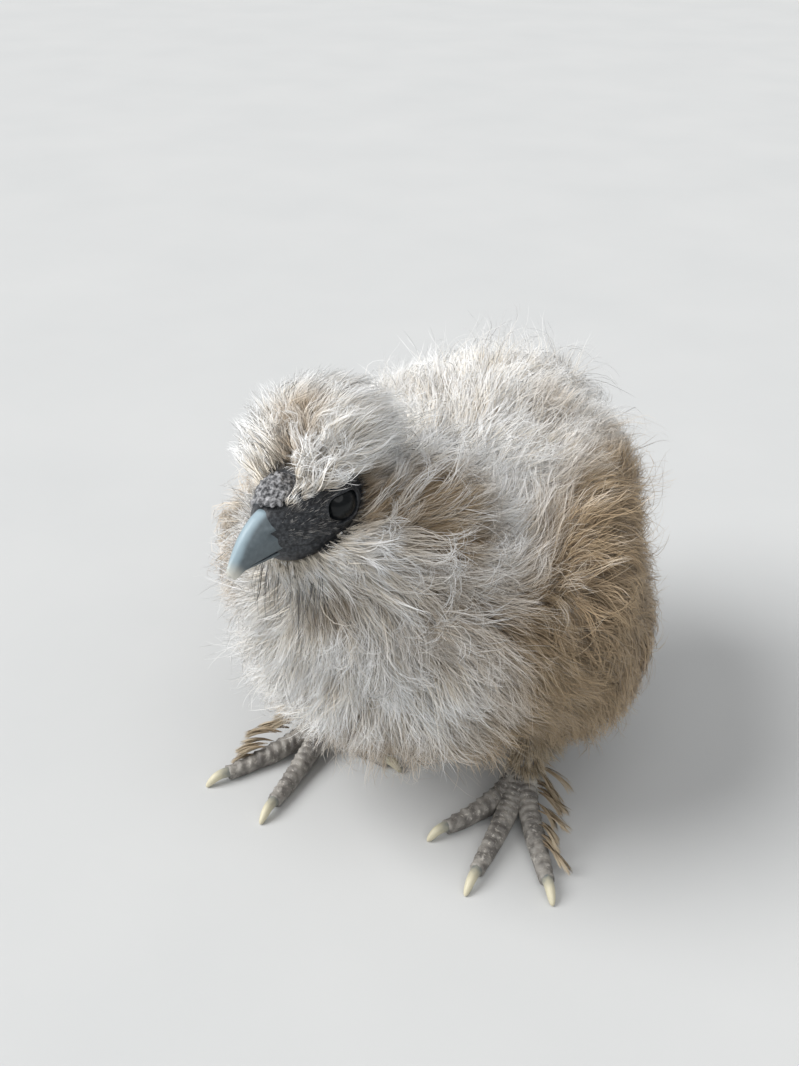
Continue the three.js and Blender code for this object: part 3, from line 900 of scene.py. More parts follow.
MASKS = zone_masks()
for name, mask in MASKS.items():
    print(name, "area in square cm", round(mask.sum() * AREAS.sum() / SPOT_COUNT / 100, 1))

# %% [markdown]
# ## One tuft
# Each tuft follows one stem, which leaves the skin at a slope and lies down towards its end.
# Its strands leave the stem one after another, spread, and come together again at the tip,
# which is what makes the wisps that a silkie shows. The outer half of a strand curls. A strand
# is a flat ribbon that narrows to a point, a few quads long.

# %% Stems and strands
DOWN = np.array([0.0, 0, -1])
STATIONS = 8
TUFTS_IN_LOCK = 9
PATCH = 0.003


def turned(v, axis, angle):
    """Vectors turned about unit axes that they are roughly square to."""
    c, s = np.cos(angle)[..., None], np.sin(angle)[..., None]
    return v * c + np.cross(axis, v) * s + axis * along_dots(axis, v) * (1 - c)


def stems(roots, long, spec, sway):
    """The points of each tuft's stem, lying over the skin."""
    tufts = len(roots)
    rise = spec["rise"] + 10 * CHANCE.normal(size=tufts)
    lay = spec["lay"] + 8 * CHANCE.normal(size=tufts)
    p = roots
    points = []
    for k in range(STATIONS):
        t = k / (STATIONS - 1)
        depth, out, share = feel(p)
        way = lie_at(p, out, share, sway)
        lift = np.maximum(2.2 * t - depth, 0) - 0.6 * np.maximum(depth - spec["cap"], 0)
        p = p + out * lift[:, None] * (k > 0)
        angle = np.radians(blend(rise, lay, smooth(0, 0.85, t)))[:, None]
        step = unit(way * np.cos(angle) + out * np.sin(angle) + DOWN * spec["droop"] * t)
        points.append(p)
        p = p + step * long[:, None] / (STATIONS - 1)
    return np.stack(points, axis=1)


def gathered_stems(points, roots, pull):
    """Stems whose ends are drawn towards a neighbour's, which makes larger locks."""
    centres = some(np.arange(len(roots)), max(2, len(roots) // TUFTS_IN_LOCK))
    apart = np.linalg.norm(roots[:, None] - roots[None, centres], axis=2)
    target = points[centres[apart.argmin(axis=1)]]
    t = np.linspace(0, 1, STATIONS)[None, :, None]
    drawn = pull * CHANCE.uniform(0.3, 1.0, (len(roots), 1, 1)) * t ** 1.4
    points = points + (target - points) * drawn
    return points, unit(np.gradient(points, axis=1))


def sampled(rows, u):
    """Rows of each tuft's stem read at places u from 0 to 1."""
    count = rows.shape[1] - 1
    x = np.clip(u, 0, 1) * count
    i = np.minimum(x.astype(int), count - 1)
    f = (x - i)[..., None]
    tuft = np.arange(len(rows)).reshape(-1, *([1] * (u.ndim - 1)))
    return rows[tuft, i] * (1 - f) + rows[tuft, i + 1] * f


def strands(points, ways, out, long, spec):
    """The lines of all strands, (tuft, strand, station, xyz), their flat sides and facing ways."""
    tufts, count = len(points), spec["count"]
    shape = (tufts, count)
    wisp = (CHANCE.random((tufts, 1)) < spec["wisps"]) * 1.0
    out = out[:, None]
    side = unit(np.cross(ways[:, 2:3], out))
    start = CHANCE.uniform(0, spec["leave"], shape)
    end = start + (1 - start) * CHANCE.uniform(0.6, 1.0, shape) ** (1 - 0.7 * wisp)
    s = np.linspace(0, 1, spec["stations"])
    u = start[..., None] + (end - start)[..., None] * s
    way = sampled(ways, u)
    angle = CHANCE.uniform(0, 2 * math.pi, shape)[..., None]
    radial = side * np.cos(angle) + out * np.sin(angle) * 0.7
    fan = spec["fan"] * (1.35 - 0.75 * wisp) * np.sqrt(CHANCE.random(shape))
    pinch = spec["pinch"] * (0.75 + 0.4 * wisp)
    way = way + radial[:, :, None] * (fan[..., None] * (1 - pinch[..., None] * s))[..., None]
    phase = CHANCE.uniform(0, 2 * math.pi, (*shape, 1))
    swing = spec["wave"] * np.sin(phase + s * CHANCE.uniform(3, 9, (*shape, 1)))
    cross = unit(np.cross(way, radial[:, :, None]))
    way = unit(way + cross * swing[..., None])
    tuft_axis = turned(side, unit(ways[:, 4:5]), CHANCE.uniform(-2.4, 2.4, (tufts, 1)))
    axis = unit(tuft_axis + 0.45 * CHANCE.normal(size=(*shape, 3)))
    curl = spec["curl"] * (0.2 + CHANCE.gamma(1.6, 0.5, (tufts, 1)) * (0.7 + 0.6 * wisp))
    curl = curl + 0.3 * CHANCE.normal(size=shape)
    way = turned(way, axis[:, :, None], curl[..., None] * smooth(0.25, 1.1, s))
    step = (long[:, None] * (end - start))[..., None, None] / (spec["stations"] - 1)
    first = sampled(points, start) + radial * spec["clump"] * np.sqrt(CHANCE.random((*shape, 1)))
    walk = np.concatenate([np.zeros_like(way[:, :, :1]), np.cumsum(way[:, :, :-1], axis=2)], axis=2)
    line = first[:, :, None] + walk * step
    roll = 0.9 * CHANCE.normal(size=shape)[..., None]
    flat = unit(np.cross(way, out[:, :, None]))
    uneven = 0.12 * CHANCE.normal(size=(*shape, 1, 3))
    facing = unit(out[:, :, None] + 0.8 * radial[:, :, None] + uneven)
    return line, turned(flat, unit(way), roll), np.broadcast_to(facing, line.shape)


def ribbons(name, line, flat, facing, wide, patch):
    """Strand lines as one mesh of tapering ribbons, with its two UV maps.

    Each ribbon is shaded as if it faced the way that its tuft does, so the coat looks soft.
    """
    tufts, count, stations, _ = line.shape
    total = tufts * count
    s = np.linspace(0, 1, stations)[:-1]
    half = 0.5 * wide * (1 - 0.72 * s ** 1.5) * (0.55 + 0.45 * smooth(0, 0.3, s))
    half = half * CHANCE.uniform(0.7, 1.3, (tufts, count, 1))
    body, tip = line[:, :, :-1], line[:, :, -1]
    along = np.gradient(line, axis=2)[:, :, :-1]
    inward = along_dots(np.cross(flat[:, :, :-1], along), facing[:, :, :-1]) < 0
    edge = flat[:, :, :-1] * half[..., None] * np.where(inward, -1, 1)
    pairs = np.stack([body - edge, body + edge], axis=3).reshape(total, -1, 3)
    points = np.concatenate([pairs, tip.reshape(total, 1, 3)], axis=1)
    each = points.shape[1]
    quad = np.array([[2 * k, 2 * k + 1, 2 * k + 3, 2 * k + 2] for k in range(stations - 2)]).ravel()
    corners = np.concatenate([quad, [2 * stations - 4, 2 * stations - 3, 2 * stations - 2]])
    loops = (np.arange(total)[:, None] * each + corners).ravel()
    sizes = np.tile([4] * (stations - 2) + [3], total)
    mesh = bpy.data.meshes.new(name)
    mesh.vertices.add(points.shape[0] * each)
    fill(mesh.vertices, "co", to_frame(points))
    mesh.loops.add(len(loops))
    fill(mesh.loops, "vertex_index", loops, np.int32)
    mesh.polygons.add(len(sizes))
    fill(mesh.polygons, "loop_start", np.cumsum(sizes) - sizes, np.int32)
    fill(mesh.polygons, "use_smooth", np.ones(len(sizes)), bool)
    mesh.update(calc_edges=True)
    normals = np.concatenate([np.repeat(facing[:, :, :-1], 2, axis=2), facing[:, :, -1:]], axis=2)
    mesh.normals_split_custom_set_from_vertices(normals.reshape(-1, 3).astype(np.float32))
    level = np.concatenate([np.repeat(s, 2), [1.0]])
    tone = CHANCE.random((tufts, 1)) * 0.6 + CHANCE.random((tufts, count)) * 0.4
    strand = np.stack(np.broadcast_arrays(tone.reshape(total, 1), level), axis=-1)
    across = (np.arange(count) / count - 0.5)[None, :, None] * PATCH
    corner = np.stack(np.broadcast_arrays(across, (level - 0.5) * PATCH), axis=-1)
    for title, values in (("OFBake", patch[:, None, None] + corner), ("Strand", strand)):
        fill(mesh.uv_layers.new(name=title).data, "uv", values.reshape(-1, 2)[loops])
    return link(name, mesh)


def unwrapped(roots):
    """The place of each root on a globe drawn round its piece of the coat, from 0 to 1."""
    middle = roots.mean(axis=0) - 12 * feel(roots)[1].mean(axis=0)
    ray = unit(roots - middle)
    lon = np.arctan2(ray[:, 0], ray[:, 1]) / (2 * math.pi)
    lat = np.arcsin(np.clip(ray[:, 2], -1, 1)) / math.pi
    return np.stack([lon, lat], axis=1) * (1 - 2 * PATCH) + 0.5


# %% [markdown]
# ## The coat, piece by piece
# Plumage differs over the body. The crest stands in a pompom, the beard hangs long and straight,
# the hackle fans from behind the cheek with curled tips, and the back, cushion and wings carry
# the longest and loosest plumes. Each row below is one piece, with its lengths in millimetres,
# its slopes in degrees and its curl. Long loose wisps then go over the cheek, brow, ruff and
# body. Strands that would lie over the bare face, the comb or the beak are cut short, and
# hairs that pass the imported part's box are drawn in towards it.

# %% Sizes of each piece of the coat
HEAD_STRANDS = {"stations": 6, "wide": 0.16, "leave": 0.3, "clump": 0.7, "wisps": 0.45, "stray": 1}
BODY_STRANDS = {"stations": 5, "wide": 0.24, "leave": 0.4, "clump": 1.3, "wisps": 0.35, "stray": 1.1}
LONG_WISPS = {"stations": 9, "wide": 0.26, "leave": 0.15, "clump": 0.5, "wisps": 1, "stray": 1.3}
BREAST_STRANDS = {**HEAD_STRANDS, "wide": 0.2}
THIN_WISPS = {**LONG_WISPS, "wide": 0.15}
MEASURES = (
    "tufts", "count", "long", "rise", "lay", "cap", "droop", "fan", "pinch", "wave", "curl", "gather"
)
ROWS = {
    "crest": (HEAD_STRANDS, 1000, 16, (12, 23), 66, 32, 18, 0.05, 0.4, 1.75, 0.18, 0.8, 0.8),
    "beard": (HEAD_STRANDS, 1150, 16, (12, 24), 44, 14, 14, 0.45, 0.32, 1.7, 0.14, 0.6, 0.5),
    "hackle": (HEAD_STRANDS, 1200, 16, (18, 30), 46, 14, 14, 0.15, 0.32, 1.75, 0.16, 0.9, 1.0),
    "breast": (BREAST_STRANDS, 1350, 15, (18, 30), 42, 10, 13, 0.3, 0.34, 1.6, 0.18, 0.8, 1.0),
    "back": (BODY_STRANDS, 1250, 15, (20, 32), 38, 8, 10, 0.0, 0.38, 1.4, 0.2, 1.1, 1.0),
    "cushion": (BODY_STRANDS, 1350, 15, (15, 24), 38, 8, 8, 0.05, 0.45, 1.3, 0.22, 0.9, 1.0),
    "tail": (BODY_STRANDS, 450, 15, (14, 22), 36, 16, 10, 0.3, 0.45, 1.2, 0.2, 0.8, 0.5),
    "wing_left": (BODY_STRANDS, 1050, 15, (18, 29), 30, 4, 8, 0.25, 0.34, 1.5, 0.18, 1.0, 1.0),
    "thigh_left": (BODY_STRANDS, 900, 15, (15, 25), 40, 14, 9, 0.3, 0.45, 1.3, 0.22, 0.8, 0.5),
    "belly": (BODY_STRANDS, 700, 14, (15, 24), 40, 16, 11, 0.1, 0.5, 1.0, 0.2, 0.8, 0.4),
    "cheek_wisps": (LONG_WISPS, 90, 12, (13, 20), 50, 24, 14, 0.1, 0.34, 1.7, 0.22, 1.7, 0.2),
    "brow_wisps": (LONG_WISPS, 110, 14, (13, 20), 66, 38, 17, -0.3, 0.32, 1.65, 0.2, 1.2, 0.2),
    "stray_wisps": (THIN_WISPS, 650, 5, (22, 36), 50, 22, 13, 0.05, 0.4, 1.3, 0.25, 1.5, 0.2),
    "ruff_wisps": (LONG_WISPS, 200, 14, (24, 34), 48, 20, 17, 0.1, 0.26, 1.7, 0.18, 1.7, 0.2),
}
COAT = {name: {**kind, **dict(zip(MEASURES, row))} for name, (kind, *row) in ROWS.items()}
for name in ("wing", "thigh"):
    COAT[f"{name}_right"] = COAT[f"{name}_left"]
PALE_WISPS = ("cheek_wisps", "brow_wisps", "ruff_wisps")
print("tufts", sum(spec["tufts"] for spec in COAT.values()))

# %% Strands that keep clear, and the coat
BOX_MARGIN = 3.0
PAST_BOX = 0.45
BOX_LOW, BOX_HIGH = (np.array(list(corner)) / MM - SHIFT for corner in cad_box)
CUT_LENGTH = 0.28


def in_box(p):
    """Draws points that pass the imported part's box back towards it."""
    low, high = BOX_LOW + BOX_MARGIN, BOX_HIGH - BOX_MARGIN
    p = np.where(p > high, high + (p - high) * PAST_BOX, p)
    return np.where(p < low, low - (low - p) * PAST_BOX, p)


def off_face(points):
    """Which stems keep clear of the bare face and the beak all along."""
    q = HEAD.back(points)
    over = (face_gap(q) < 0.2) | (q[..., 1] < -13) | (comb_gap(q) < 0)
    return ~over.any(axis=1)


def trimmed(line, roots):
    """Strand lines, cut short where they would lie over the bare face, the comb or the beak."""
    q = HEAD.back(line)
    on_beak = (q[..., 1] < -13.5) & (np.abs(q[..., 0]) < 5) & (np.abs(q[..., 2] + 5) < 8)
    over = (face_gap(q) < -0.8) | (comb_gap(q) < -0.8) | on_beak
    over = over.any(axis=2)[..., None, None]
    return np.where(over, roots[:, None, None] + CUT_LENGTH * (line - line[:, :, :1]), line)


def coat_piece(name, spec):
    picked = some(np.flatnonzero(MASKS[name]), spec["tufts"])
    roots = SPOTS[picked]
    near_face = blend(0.35, 1, smooth(0, 6, GAP[picked])) if "wisps" not in name else 1.0
    long = CHANCE.uniform(*spec["long"], len(roots)) * near_face
    sway = 0.35 * spec["stray"] * CHANCE.normal(size=(len(roots), 1))
    sway = sway + 0.7 * ripple(roots, 22, 71)[:, None]
    points, ways = gathered_stems(stems(roots, long, spec, sway), roots, spec["gather"])
    if name in PALE_WISPS:
        clear = off_face(points)
        points, ways, roots, long = points[clear], ways[clear], roots[clear], long[clear]
    line, flat, facing = strands(points, ways, feel(roots)[1], long, spec)
    line = trimmed(line, roots)
    line[..., 2] = np.maximum(line[..., 2], 1.0)
    return ribbons(f"coat_{name}", in_box(line), flat, facing, spec["wide"], unwrapped(roots))


coat = {name: coat_piece(name, spec) for name, spec in COAT.items()}
for name, piece in coat.items():
    print(piece.name, "triangles", sum(len(face.vertices) - 2 for face in piece.data.polygons))

# %% [markdown]
# ## Bristles, beard hairs and foot plumes
# The bare face isn't quite bare: short bristles stand over the lores and brow, and a few long
# dark hairs hang through the white beard. Down runs along the outer side of each shank and
# becomes a row of small stiff plumes on the outer toe, which is a mark of the breed.

# %% Hairs off the coat
def hair_piece(name, roots, way, out, long, rise, bend, spec):
    """Hairs or plumes off the coat, whose stems keep one way and bend towards it."""
    t = np.linspace(0, 1, STATIONS)[None, :, None]
    angle = np.radians(rise * (1 - bend * t))
    ways = unit(way[:, None] * np.cos(angle) + out[:, None] * np.sin(angle))
    steps = ways * (long[:, None, None] / (STATIONS - 1))
    walk = np.concatenate([np.zeros_like(steps[:, :1]), np.cumsum(steps[:, :-1], axis=1)], axis=1)
    drawn = strands(roots[:, None] + walk, ways, out, long, spec)
    return ribbons(name, *drawn, spec["wide"], unwrapped(roots))


# %% Face bristles and beard hairs
BRISTLE_TUFTS = 700
BEARD_HAIRS = 34


def face_bristles():
    ring, height = eye_rings(HEAD_SPOTS)
    x, y, z = HEAD_SPOTS.T
    clear = (ring > 6.2) | (height < 0)
    on_face = nearest("skull") & (GAP < 1.5) & clear & (y > -16) & (np.abs(x) > 2)
    upper = on_face & (z > -3.5 + 2.5 * CHANCE.random(len(z)))
    roots = SPOTS[some(np.flatnonzero(upper), BRISTLE_TUFTS)]
    out = feel(roots)[1]
    way = laid_flat(unit(roots - head_point(0, -20, -4)), out)
    long = CHANCE.uniform(1.6, 4.2, len(roots))
    spec = {**HEAD_STRANDS, "stations": 4, "count": 3, "wide": 0.11, "fan": 0.3, "pinch": 0.6,
            "wave": 0.15, "curl": 0.4, "clump": 0.3, "leave": 0.1}
    return hair_piece("face_bristles", roots, way, out, long, 38, 0.6, spec)


def beard_hairs():
    _, y, z = HEAD_SPOTS.T
    spots = np.flatnonzero(MASKS["beard"] & (y < -6) & (z < -8))
    roots = SPOTS[some(spots, BEARD_HAIRS)]
    out = feel(roots)[1]
    long = CHANCE.uniform(18, 30, len(roots))
    spec = {**HEAD_STRANDS, "stations": 8, "count": 2, "wide": 0.22, "fan": 0.12, "pinch": 1.0,
            "wave": 0.1, "curl": 0.5, "clump": 0.2}
    return hair_piece("beard_hairs", roots, laid_flat(DOWN, out), out, long, 55, 0.75, spec)


bristles = face_bristles()
hairs = beard_hairs()
print("bristles", len(bristles.data.polygons), "beard hairs", len(hairs.data.polygons))

# %% Foot plumes
DOWN_TUFTS = 420
TOE_PLUMES = 16


def shank_down(side):
    """Soft down over a shank and its hock."""
    turn = TURNS[side]
    roots = some(LEG_SPOTS[LEG_SPOTS[:, 0] * turn > 0], DOWN_TUFTS)
    middle = curve([[37.2, -4, 12], [38, 0, 22], [39, 4.5, 40]], (roots[:, 2] - 12) / 28)
    out = unit((roots - middle * [turn, 1, 1]) * [1, 1, 0.1] + [0.35 * turn, 0.15, 0])
    long = CHANCE.uniform(7, 13, len(roots)) * blend(0.6, 1.1, smooth(14, 30, roots[:, 2]))
    way = unit(DOWN + [0.35 * turn, 0.1, 0] + 0.25 * CHANCE.normal(size=roots.shape))
    spec = {**BODY_STRANDS, "stations": 4, "count": 9, "wide": 0.22, "fan": 0.5, "pinch": 1.2,
            "wave": 0.2, "curl": 0.5, "clump": 0.6}
    return hair_piece(f"shank_down_{side}", roots, way, out, long, 50, 0.6, spec)


def toe_plumes(side):
    """Stiff little plumes along the outer side of the foot."""
    turn = TURNS[side]
    start, end = np.array([40, -3, 13.0]), np.array([52.5, -29, 5.5])
    t = np.linspace(0, 1, TOE_PLUMES)[:, None]
    roots = blend(start, end, t) + CHANCE.normal(size=(TOE_PLUMES, 3)) * [0.5, 0.5, 0.8]
    roots = roots * [turn, 1, 1]
    out = unit(np.array([0.2 * turn, 0.1, 1.0]) + 0.15 * CHANCE.normal(size=roots.shape))
    way = unit(np.array([0.8 * turn, -0.62, -0.2]) + 0.13 * CHANCE.normal(size=roots.shape))
    long = CHANCE.uniform(12, 18, len(roots)) * blend(1, 0.75, t[:, 0])
    spec = {**BODY_STRANDS, "stations": 5, "count": 40, "wide": 0.34, "fan": 0.3, "pinch": 0.9,
            "wave": 0.03, "curl": 0.12, "clump": 0.35, "leave": 0.55, "wisps": 1.0}
    return hair_piece(f"toe_plumes_{side}", roots, way, out, long, 26, 1.9, spec)


foot_plumes = []
for side in TURNS:
    foot_plumes += [shank_down(side), toe_plumes(side)]
print("foot plumes", [len(piece.data.polygons) for piece in foot_plumes])

# %% [markdown]
# ## Shader maths
# A material is easier to read as a formula than as a web of boxes. This class wraps one socket,
# and adding or multiplying two of them adds the Math node that does it.

# %% Sockets that add up
class Wire:
    """One output socket of a finish, which works in a formula as a number does."""

    def __init__(self, finish, socket):
        self.finish, self.socket = finish, socket

    def maths(self, operation, first, second):
        kind = "ShaderNodeVectorMath" if self.socket.type == "VECTOR" else "ShaderNodeMath"
        return self.finish.node(kind, {"operation": operation}, {0: first, 1: second})

    def __add__(self, other):
        return self.maths("ADD", self, other)

    def __sub__(self, other):
        return self.maths("SUBTRACT", self, other)

    def __rsub__(self, other):
        return self.maths("SUBTRACT", other, self)

    def __mul__(self, other):
        return self.maths("MULTIPLY", self, other)

    def __pow__(self, other):
        return self.maths("POWER", self, other)

    __radd__ = __add__
    __rmul__ = __mul__

    def length(self):
        return self.finish.node("ShaderNodeVectorMath", {"operation": "LENGTH"}, {0: self}, "Value")

    def part(self, axis):
        return self.finish.node("ShaderNodeSeparateXYZ", {}, {0: self}, axis)

    def step(self, low, high):
        """0 at low and 1 at high, with a soft step between."""
        settings = {"interpolation_type": "SMOOTHSTEP"}
        inputs = {"Value": self, "From Min": low, "From Max": high}
        return self.finish.node("ShaderNodeMapRange", settings, inputs)


class Finish:
    """A material made of nodes, with its Principled shader set from numbers and formulas."""

    def __init__(self, name):
        self.material = bpy.data.materials.new(name)
        self.material.use_nodes = True
        self.tree = self.material.node_tree
        self.shader = self.tree.nodes["Principled BSDF"]

    def node(self, kind, settings, inputs, output=0):
        made = self.tree.nodes.new(kind)
        for key, value in settings.items():
            setattr(made, key, value)
        for key, value in inputs.items():
            self.feed(made.inputs[key], value)
        return Wire(self, made.outputs[output])

    def feed(self, socket, value):
        if isinstance(value, Wire):
            self.tree.links.new(value.socket, socket)
        elif socket.type == "RGBA":
            socket.default_value = (*value, 1)
        else:
            socket.default_value = value

    def set(self, **sockets):
        for key, value in sockets.items():
            self.feed(self.shader.inputs[key.replace("_", " ")], value)

    def strand(self):
        """The tone of each strand and the level along it, both from 0 to 1."""
        both = self.node("ShaderNodeUVMap", {"uv_map": "Strand"}, {})
        return both.part("X"), both.part("Y")

    def place(self):
        """The point of the surface in drawing millimetres."""
        where = self.node("ShaderNodeTexCoord", {}, {}, "Object")
        scaled = self.node("ShaderNodeVectorMath", {"operation": "SCALE"}, {0: where, "Scale": 1 / MM})
        return scaled - tuple(SHIFT)

    def noise(self, where, size, detail=2.0, roughness=0.5):
        """Noise from 0 to 1 whose blots are about the given size in millimetres."""
        inputs = {"Vector": where, "Scale": 0.6 / size, "Detail": detail, "Roughness": roughness}
        return self.node("ShaderNodeTexNoise", {}, inputs, "Fac")

    def mix(self, factor, a, b):
        return self.node("ShaderNodeMix", {"data_type": "RGBA"}, {0: factor, 6: a, 7: b}, 2)

    def blob(self, where, middle, sizes, soft=0.5):
        """1 inside an egg-shaped mark, 0 outside, with a soft edge."""
        inputs = {0: where - tuple(middle), 1: tuple(1 / s for s in sizes)}
        scaled = self.node("ShaderNodeVectorMath", {"operation": "MULTIPLY"}, inputs)
        return scaled.length().step(1 + soft, 1 - soft)

    def dot(self, where, way):
        """How far a point lies along a way."""
        inputs = {0: where, 1: tuple(map(float, way))}
        return self.node("ShaderNodeVectorMath", {"operation": "DOT_PRODUCT"}, inputs, "Value")

    def on_head(self, where):
        """A point's x, y and z in the head's own place."""
        from_head = where - tuple(HEAD_AT)
        return [self.dot(from_head, HEAD.turn[:, k]) for k in range(3)]

    def bare_face(self, where):
        """1 on the bare face and 0 off it, by the same line as the roots keep clear of."""
        x, y, z = self.on_head(where)
        y, z = y - float(FACE_FROM[0]), z - float(FACE_FROM[1])
        line = (FACE_TO - FACE_FROM).tolist()
        along = (y * line[0] + z * line[1]) * (1 / (line[0] ** 2 + line[1] ** 2))
        t = self.node("ShaderNodeClamp", {}, {"Value": along})
        gap = ((y - t * line[0]) ** 2 + (z - t * line[1]) ** 2) ** 0.5
        return gap.step(FACE_HALF + 2.8, FACE_HALF + 1.6) * (x * x).step(500.0, 400.0)

    def bump(self, height, depth):
        """A Bump node for a height from 0 to 1 that stands for a depth in millimetres."""
        inputs = {"Height": height, "Distance": depth * MM, "Strength": 1.0}
        return self.node("ShaderNodeBump", {}, inputs)


def wear(piece, finish):
    piece.data.materials.clear()
    piece.data.materials.append(finish.material)


# %% [markdown]
# ## Plumage colour
# The bird is white at the tips of its plumes and cream towards their roots, so the coat looks
# darkest where it parts. Soft marks turn both to tan and brown: the crown, the patch behind
# each eye, the throat, the wings and the thighs. The marks on the throat and on the wing and
# thigh of the bird's left side also hold painted shade, and the mark beneath the body is
# painted shade alone. Skin and plumes share these marks, and the long wisps of cheek, brow
# and ruff take them only faintly.

# %% Plumage and its marks
WHITE = (0.955, 0.965, 0.97)
CREAM = (0.85, 0.78, 0.67)
TAN = (0.55, 0.41, 0.245)
DUSK = (0.33, 0.235, 0.14)
TAN_AND_SHADE_MARKS = {
    "crown": (head_point(0, 0, 22), (8, 11, 13), 0.8),
    "behind the left eye": (head_point(15, 11, 1), (8, 9, 10), 0.9),
    "behind the right eye": (head_point(-15, 11, 1), (8, 9, 10), 0.9),
    # Tan, darkened further as painted shade under the head.
    "tan and shaded throat": (head_point(6, -4, -27), (15, 13, 12), 1.3),
    "left of the neck": ((16, -28, 116), (14, 16, 14), 1.5),
    "left shoulder": ((24, -38, 92), (22, 20, 18), 0.7),
    "cushion": ((26, 44, 126), (11, 13, 9), 0.45),
    # Tan with painted shade: this side of the bird lies away from the key light, so its wing is marked
    # about twice as strongly as the right one.
    "tan and shaded left wing": ((56, 20, 88), (24, 50, 34), 1.8),
    "right wing": ((-62, 26, 84), (22, 50, 30), 0.9),
    # Tan with painted shade, as for the wing on this side.
    "tan and shaded left thigh": ((56, -2, 58), (30, 44, 36), 1.8),
    "right thigh": ((-56, 4, 58), (26, 40, 34), 1.0),
    # Painted shade: the underside of the bird, towards the floor, is darkened.
    "painted shade under the body": ((6, -16, 35), (56, 56, 25), 1.1),
    "pale beard": (head_point(0, -14, -18), (12, 10, 14), -0.9),
    "pale breast": ((-16, -76, 84), (22, 20, 40), -0.6),
}


def marks(finish, where):
    """How tan the plumage is at a point, painted shade included: 0 is white, 1 is tan and more is
    browner.
    """
    total = finish.noise(where, 14).step(0.45, 0.8) * 0.18
    for middle, sizes, much in TAN_AND_SHADE_MARKS.values():
        total = total + finish.blob(where, middle, sizes) * much
    total = total * (0.55 + 0.9 * finish.noise(where, 10))
    return finish.node("ShaderNodeClamp", {}, {"Value": total, "Max": 1.8})


def plumage(name, much):
    """Soft plumes; `much` is how far the tan marks, with their painted shade, show in them."""
    finish = Finish(name)
    where = finish.place()
    tone, level = finish.strand()
    mark = marks(finish, where) * much
    tip = (level + (tone - 0.5) * 0.5).step(0.2, 0.9)
    root = finish.mix(mark, CREAM, DUSK)
    outer = finish.mix(mark * (1.4 - 0.6 * level - 0.5 * tone), WHITE, TAN)
    outer = finish.mix((mark - 1.0) * 0.6, outer, DUSK)
    colour = finish.mix(tip, root, outer)
    colour = finish.mix(tone * 0.12, colour, CREAM)
    finish.set(Base_Color=colour, Roughness=0.75 - 0.15 * tip)
    finish.set(Specular_IOR_Level=0.2, Sheen_Weight=0.2, Sheen_Roughness=0.5)
    return finish


def stiff_plumes():
    """The tan plumes of the toes, paler along their edges."""
    finish = Finish("stiff_plumes")
    where = finish.place()
    tone, level = finish.strand()
    colour = finish.mix(level.step(0.1, 0.8), (0.28, 0.21, 0.14), (0.66, 0.57, 0.43))
    colour = finish.mix(tone * 0.5 + 0.2 * finish.noise(where, 3), colour, (0.40, 0.31, 0.20))
    finish.set(Base_Color=colour, Roughness=0.6 + 0.15 * tone, Specular_IOR_Level=0.3)
    return finish


def dark_hair(name, pale):
    """Slate bristles and hairs, some of them with pale ends."""
    finish = Finish(name)
    tone, level = finish.strand()
    ends = (level * 0.6 + tone).step(0.75, 1.2) * pale
    colour = finish.mix(ends, (0.03, 0.03, 0.034), (0.55, 0.53, 0.5))
    finish.set(Base_Color=colour, Roughness=0.5 + 0.1 * tone, Specular_IOR_Level=0.4)
    return finish


def hide():
    """Skin: down colour under the coat, slate on the bare face, and pale-edged scales on the legs."""
    finish = Finish("hide")
    where = finish.place()
    # The skin under the coat takes the same marks, their painted shade included.
    mark = marks(finish, where)
    fine = finish.noise(where, 1.2, 3.0)
    down = finish.mix(mark, tuple(0.85 * c for c in CREAM), DUSK)
    down = finish.mix(fine.step(0.3, 0.7) * 0.5, down, tuple(0.55 * c for c in CREAM))
    face = finish.bare_face(where)
    grain = finish.noise(where, 0.5, 5.0, 0.6)
    slate = finish.mix(grain.step(0.35, 0.75), (0.012, 0.014, 0.017), (0.075, 0.08, 0.088))
    foot = finish.blob(where, head_point(0, -11, 8.5), (7.5, 9.5, 7), 0.3)
    colour = finish.mix(face + foot - face * foot, down, slate)
    low = where.part("Z").step(36, 30)
    wide = finish.noise(where, 2.2, 3.0)
    scales = finish.mix(wide.step(0.3, 0.7), (0.14, 0.13, 0.12), (0.36, 0.34, 0.31))
    edges = finish.node("ShaderNodeNewGeometry", {}, {}, "Pointiness").step(0.5, 0.56)
    scales = finish.mix(edges * (0.4 + 0.6 * grain.step(0.35, 0.6)), scales, (0.66, 0.63, 0.56))
    flakes = finish.noise(where, 0.8, 4.0, 0.65).step(0.54, 0.66) * finish.noise(where, 5).step(0.35, 0.6)
    scales = finish.mix(flakes * 0.7, scales, (0.62, 0.59, 0.53))
    finish.set(Base_Color=finish.mix(low, colour, scales), Roughness=0.62 - 0.2 * face)
    finish.set(Specular_IOR_Level=0.4, Normal=finish.bump(grain, 0.15))
    return finish


plume_finish, pale_finish = plumage("plumage", 1.0), plumage("pale_wisps", 0.3)
hide_finish = hide()
for name, piece in coat.items():
    wear(piece, pale_finish if name in PALE_WISPS else plume_finish)
wear(skin, hide_finish)
wear(bristles, dark_hair("bristle_hair", 1.0))
wear(hairs, dark_hair("beard_hair", 0.3))
stiff_finish = stiff_plumes()
for piece in foot_plumes:
    wear(piece, stiff_finish)

# %% [markdown]
# ## Horn, comb and eyes
# The beak is slate blue with a paler ridge, which also holds a painted highlight along its
# top, and a pale, worn tip; the comb is rough, and dark with grey grains; the eye is so dark
# that only its highlight shows; each claw runs from grey blue at its base to ivory at its tip.

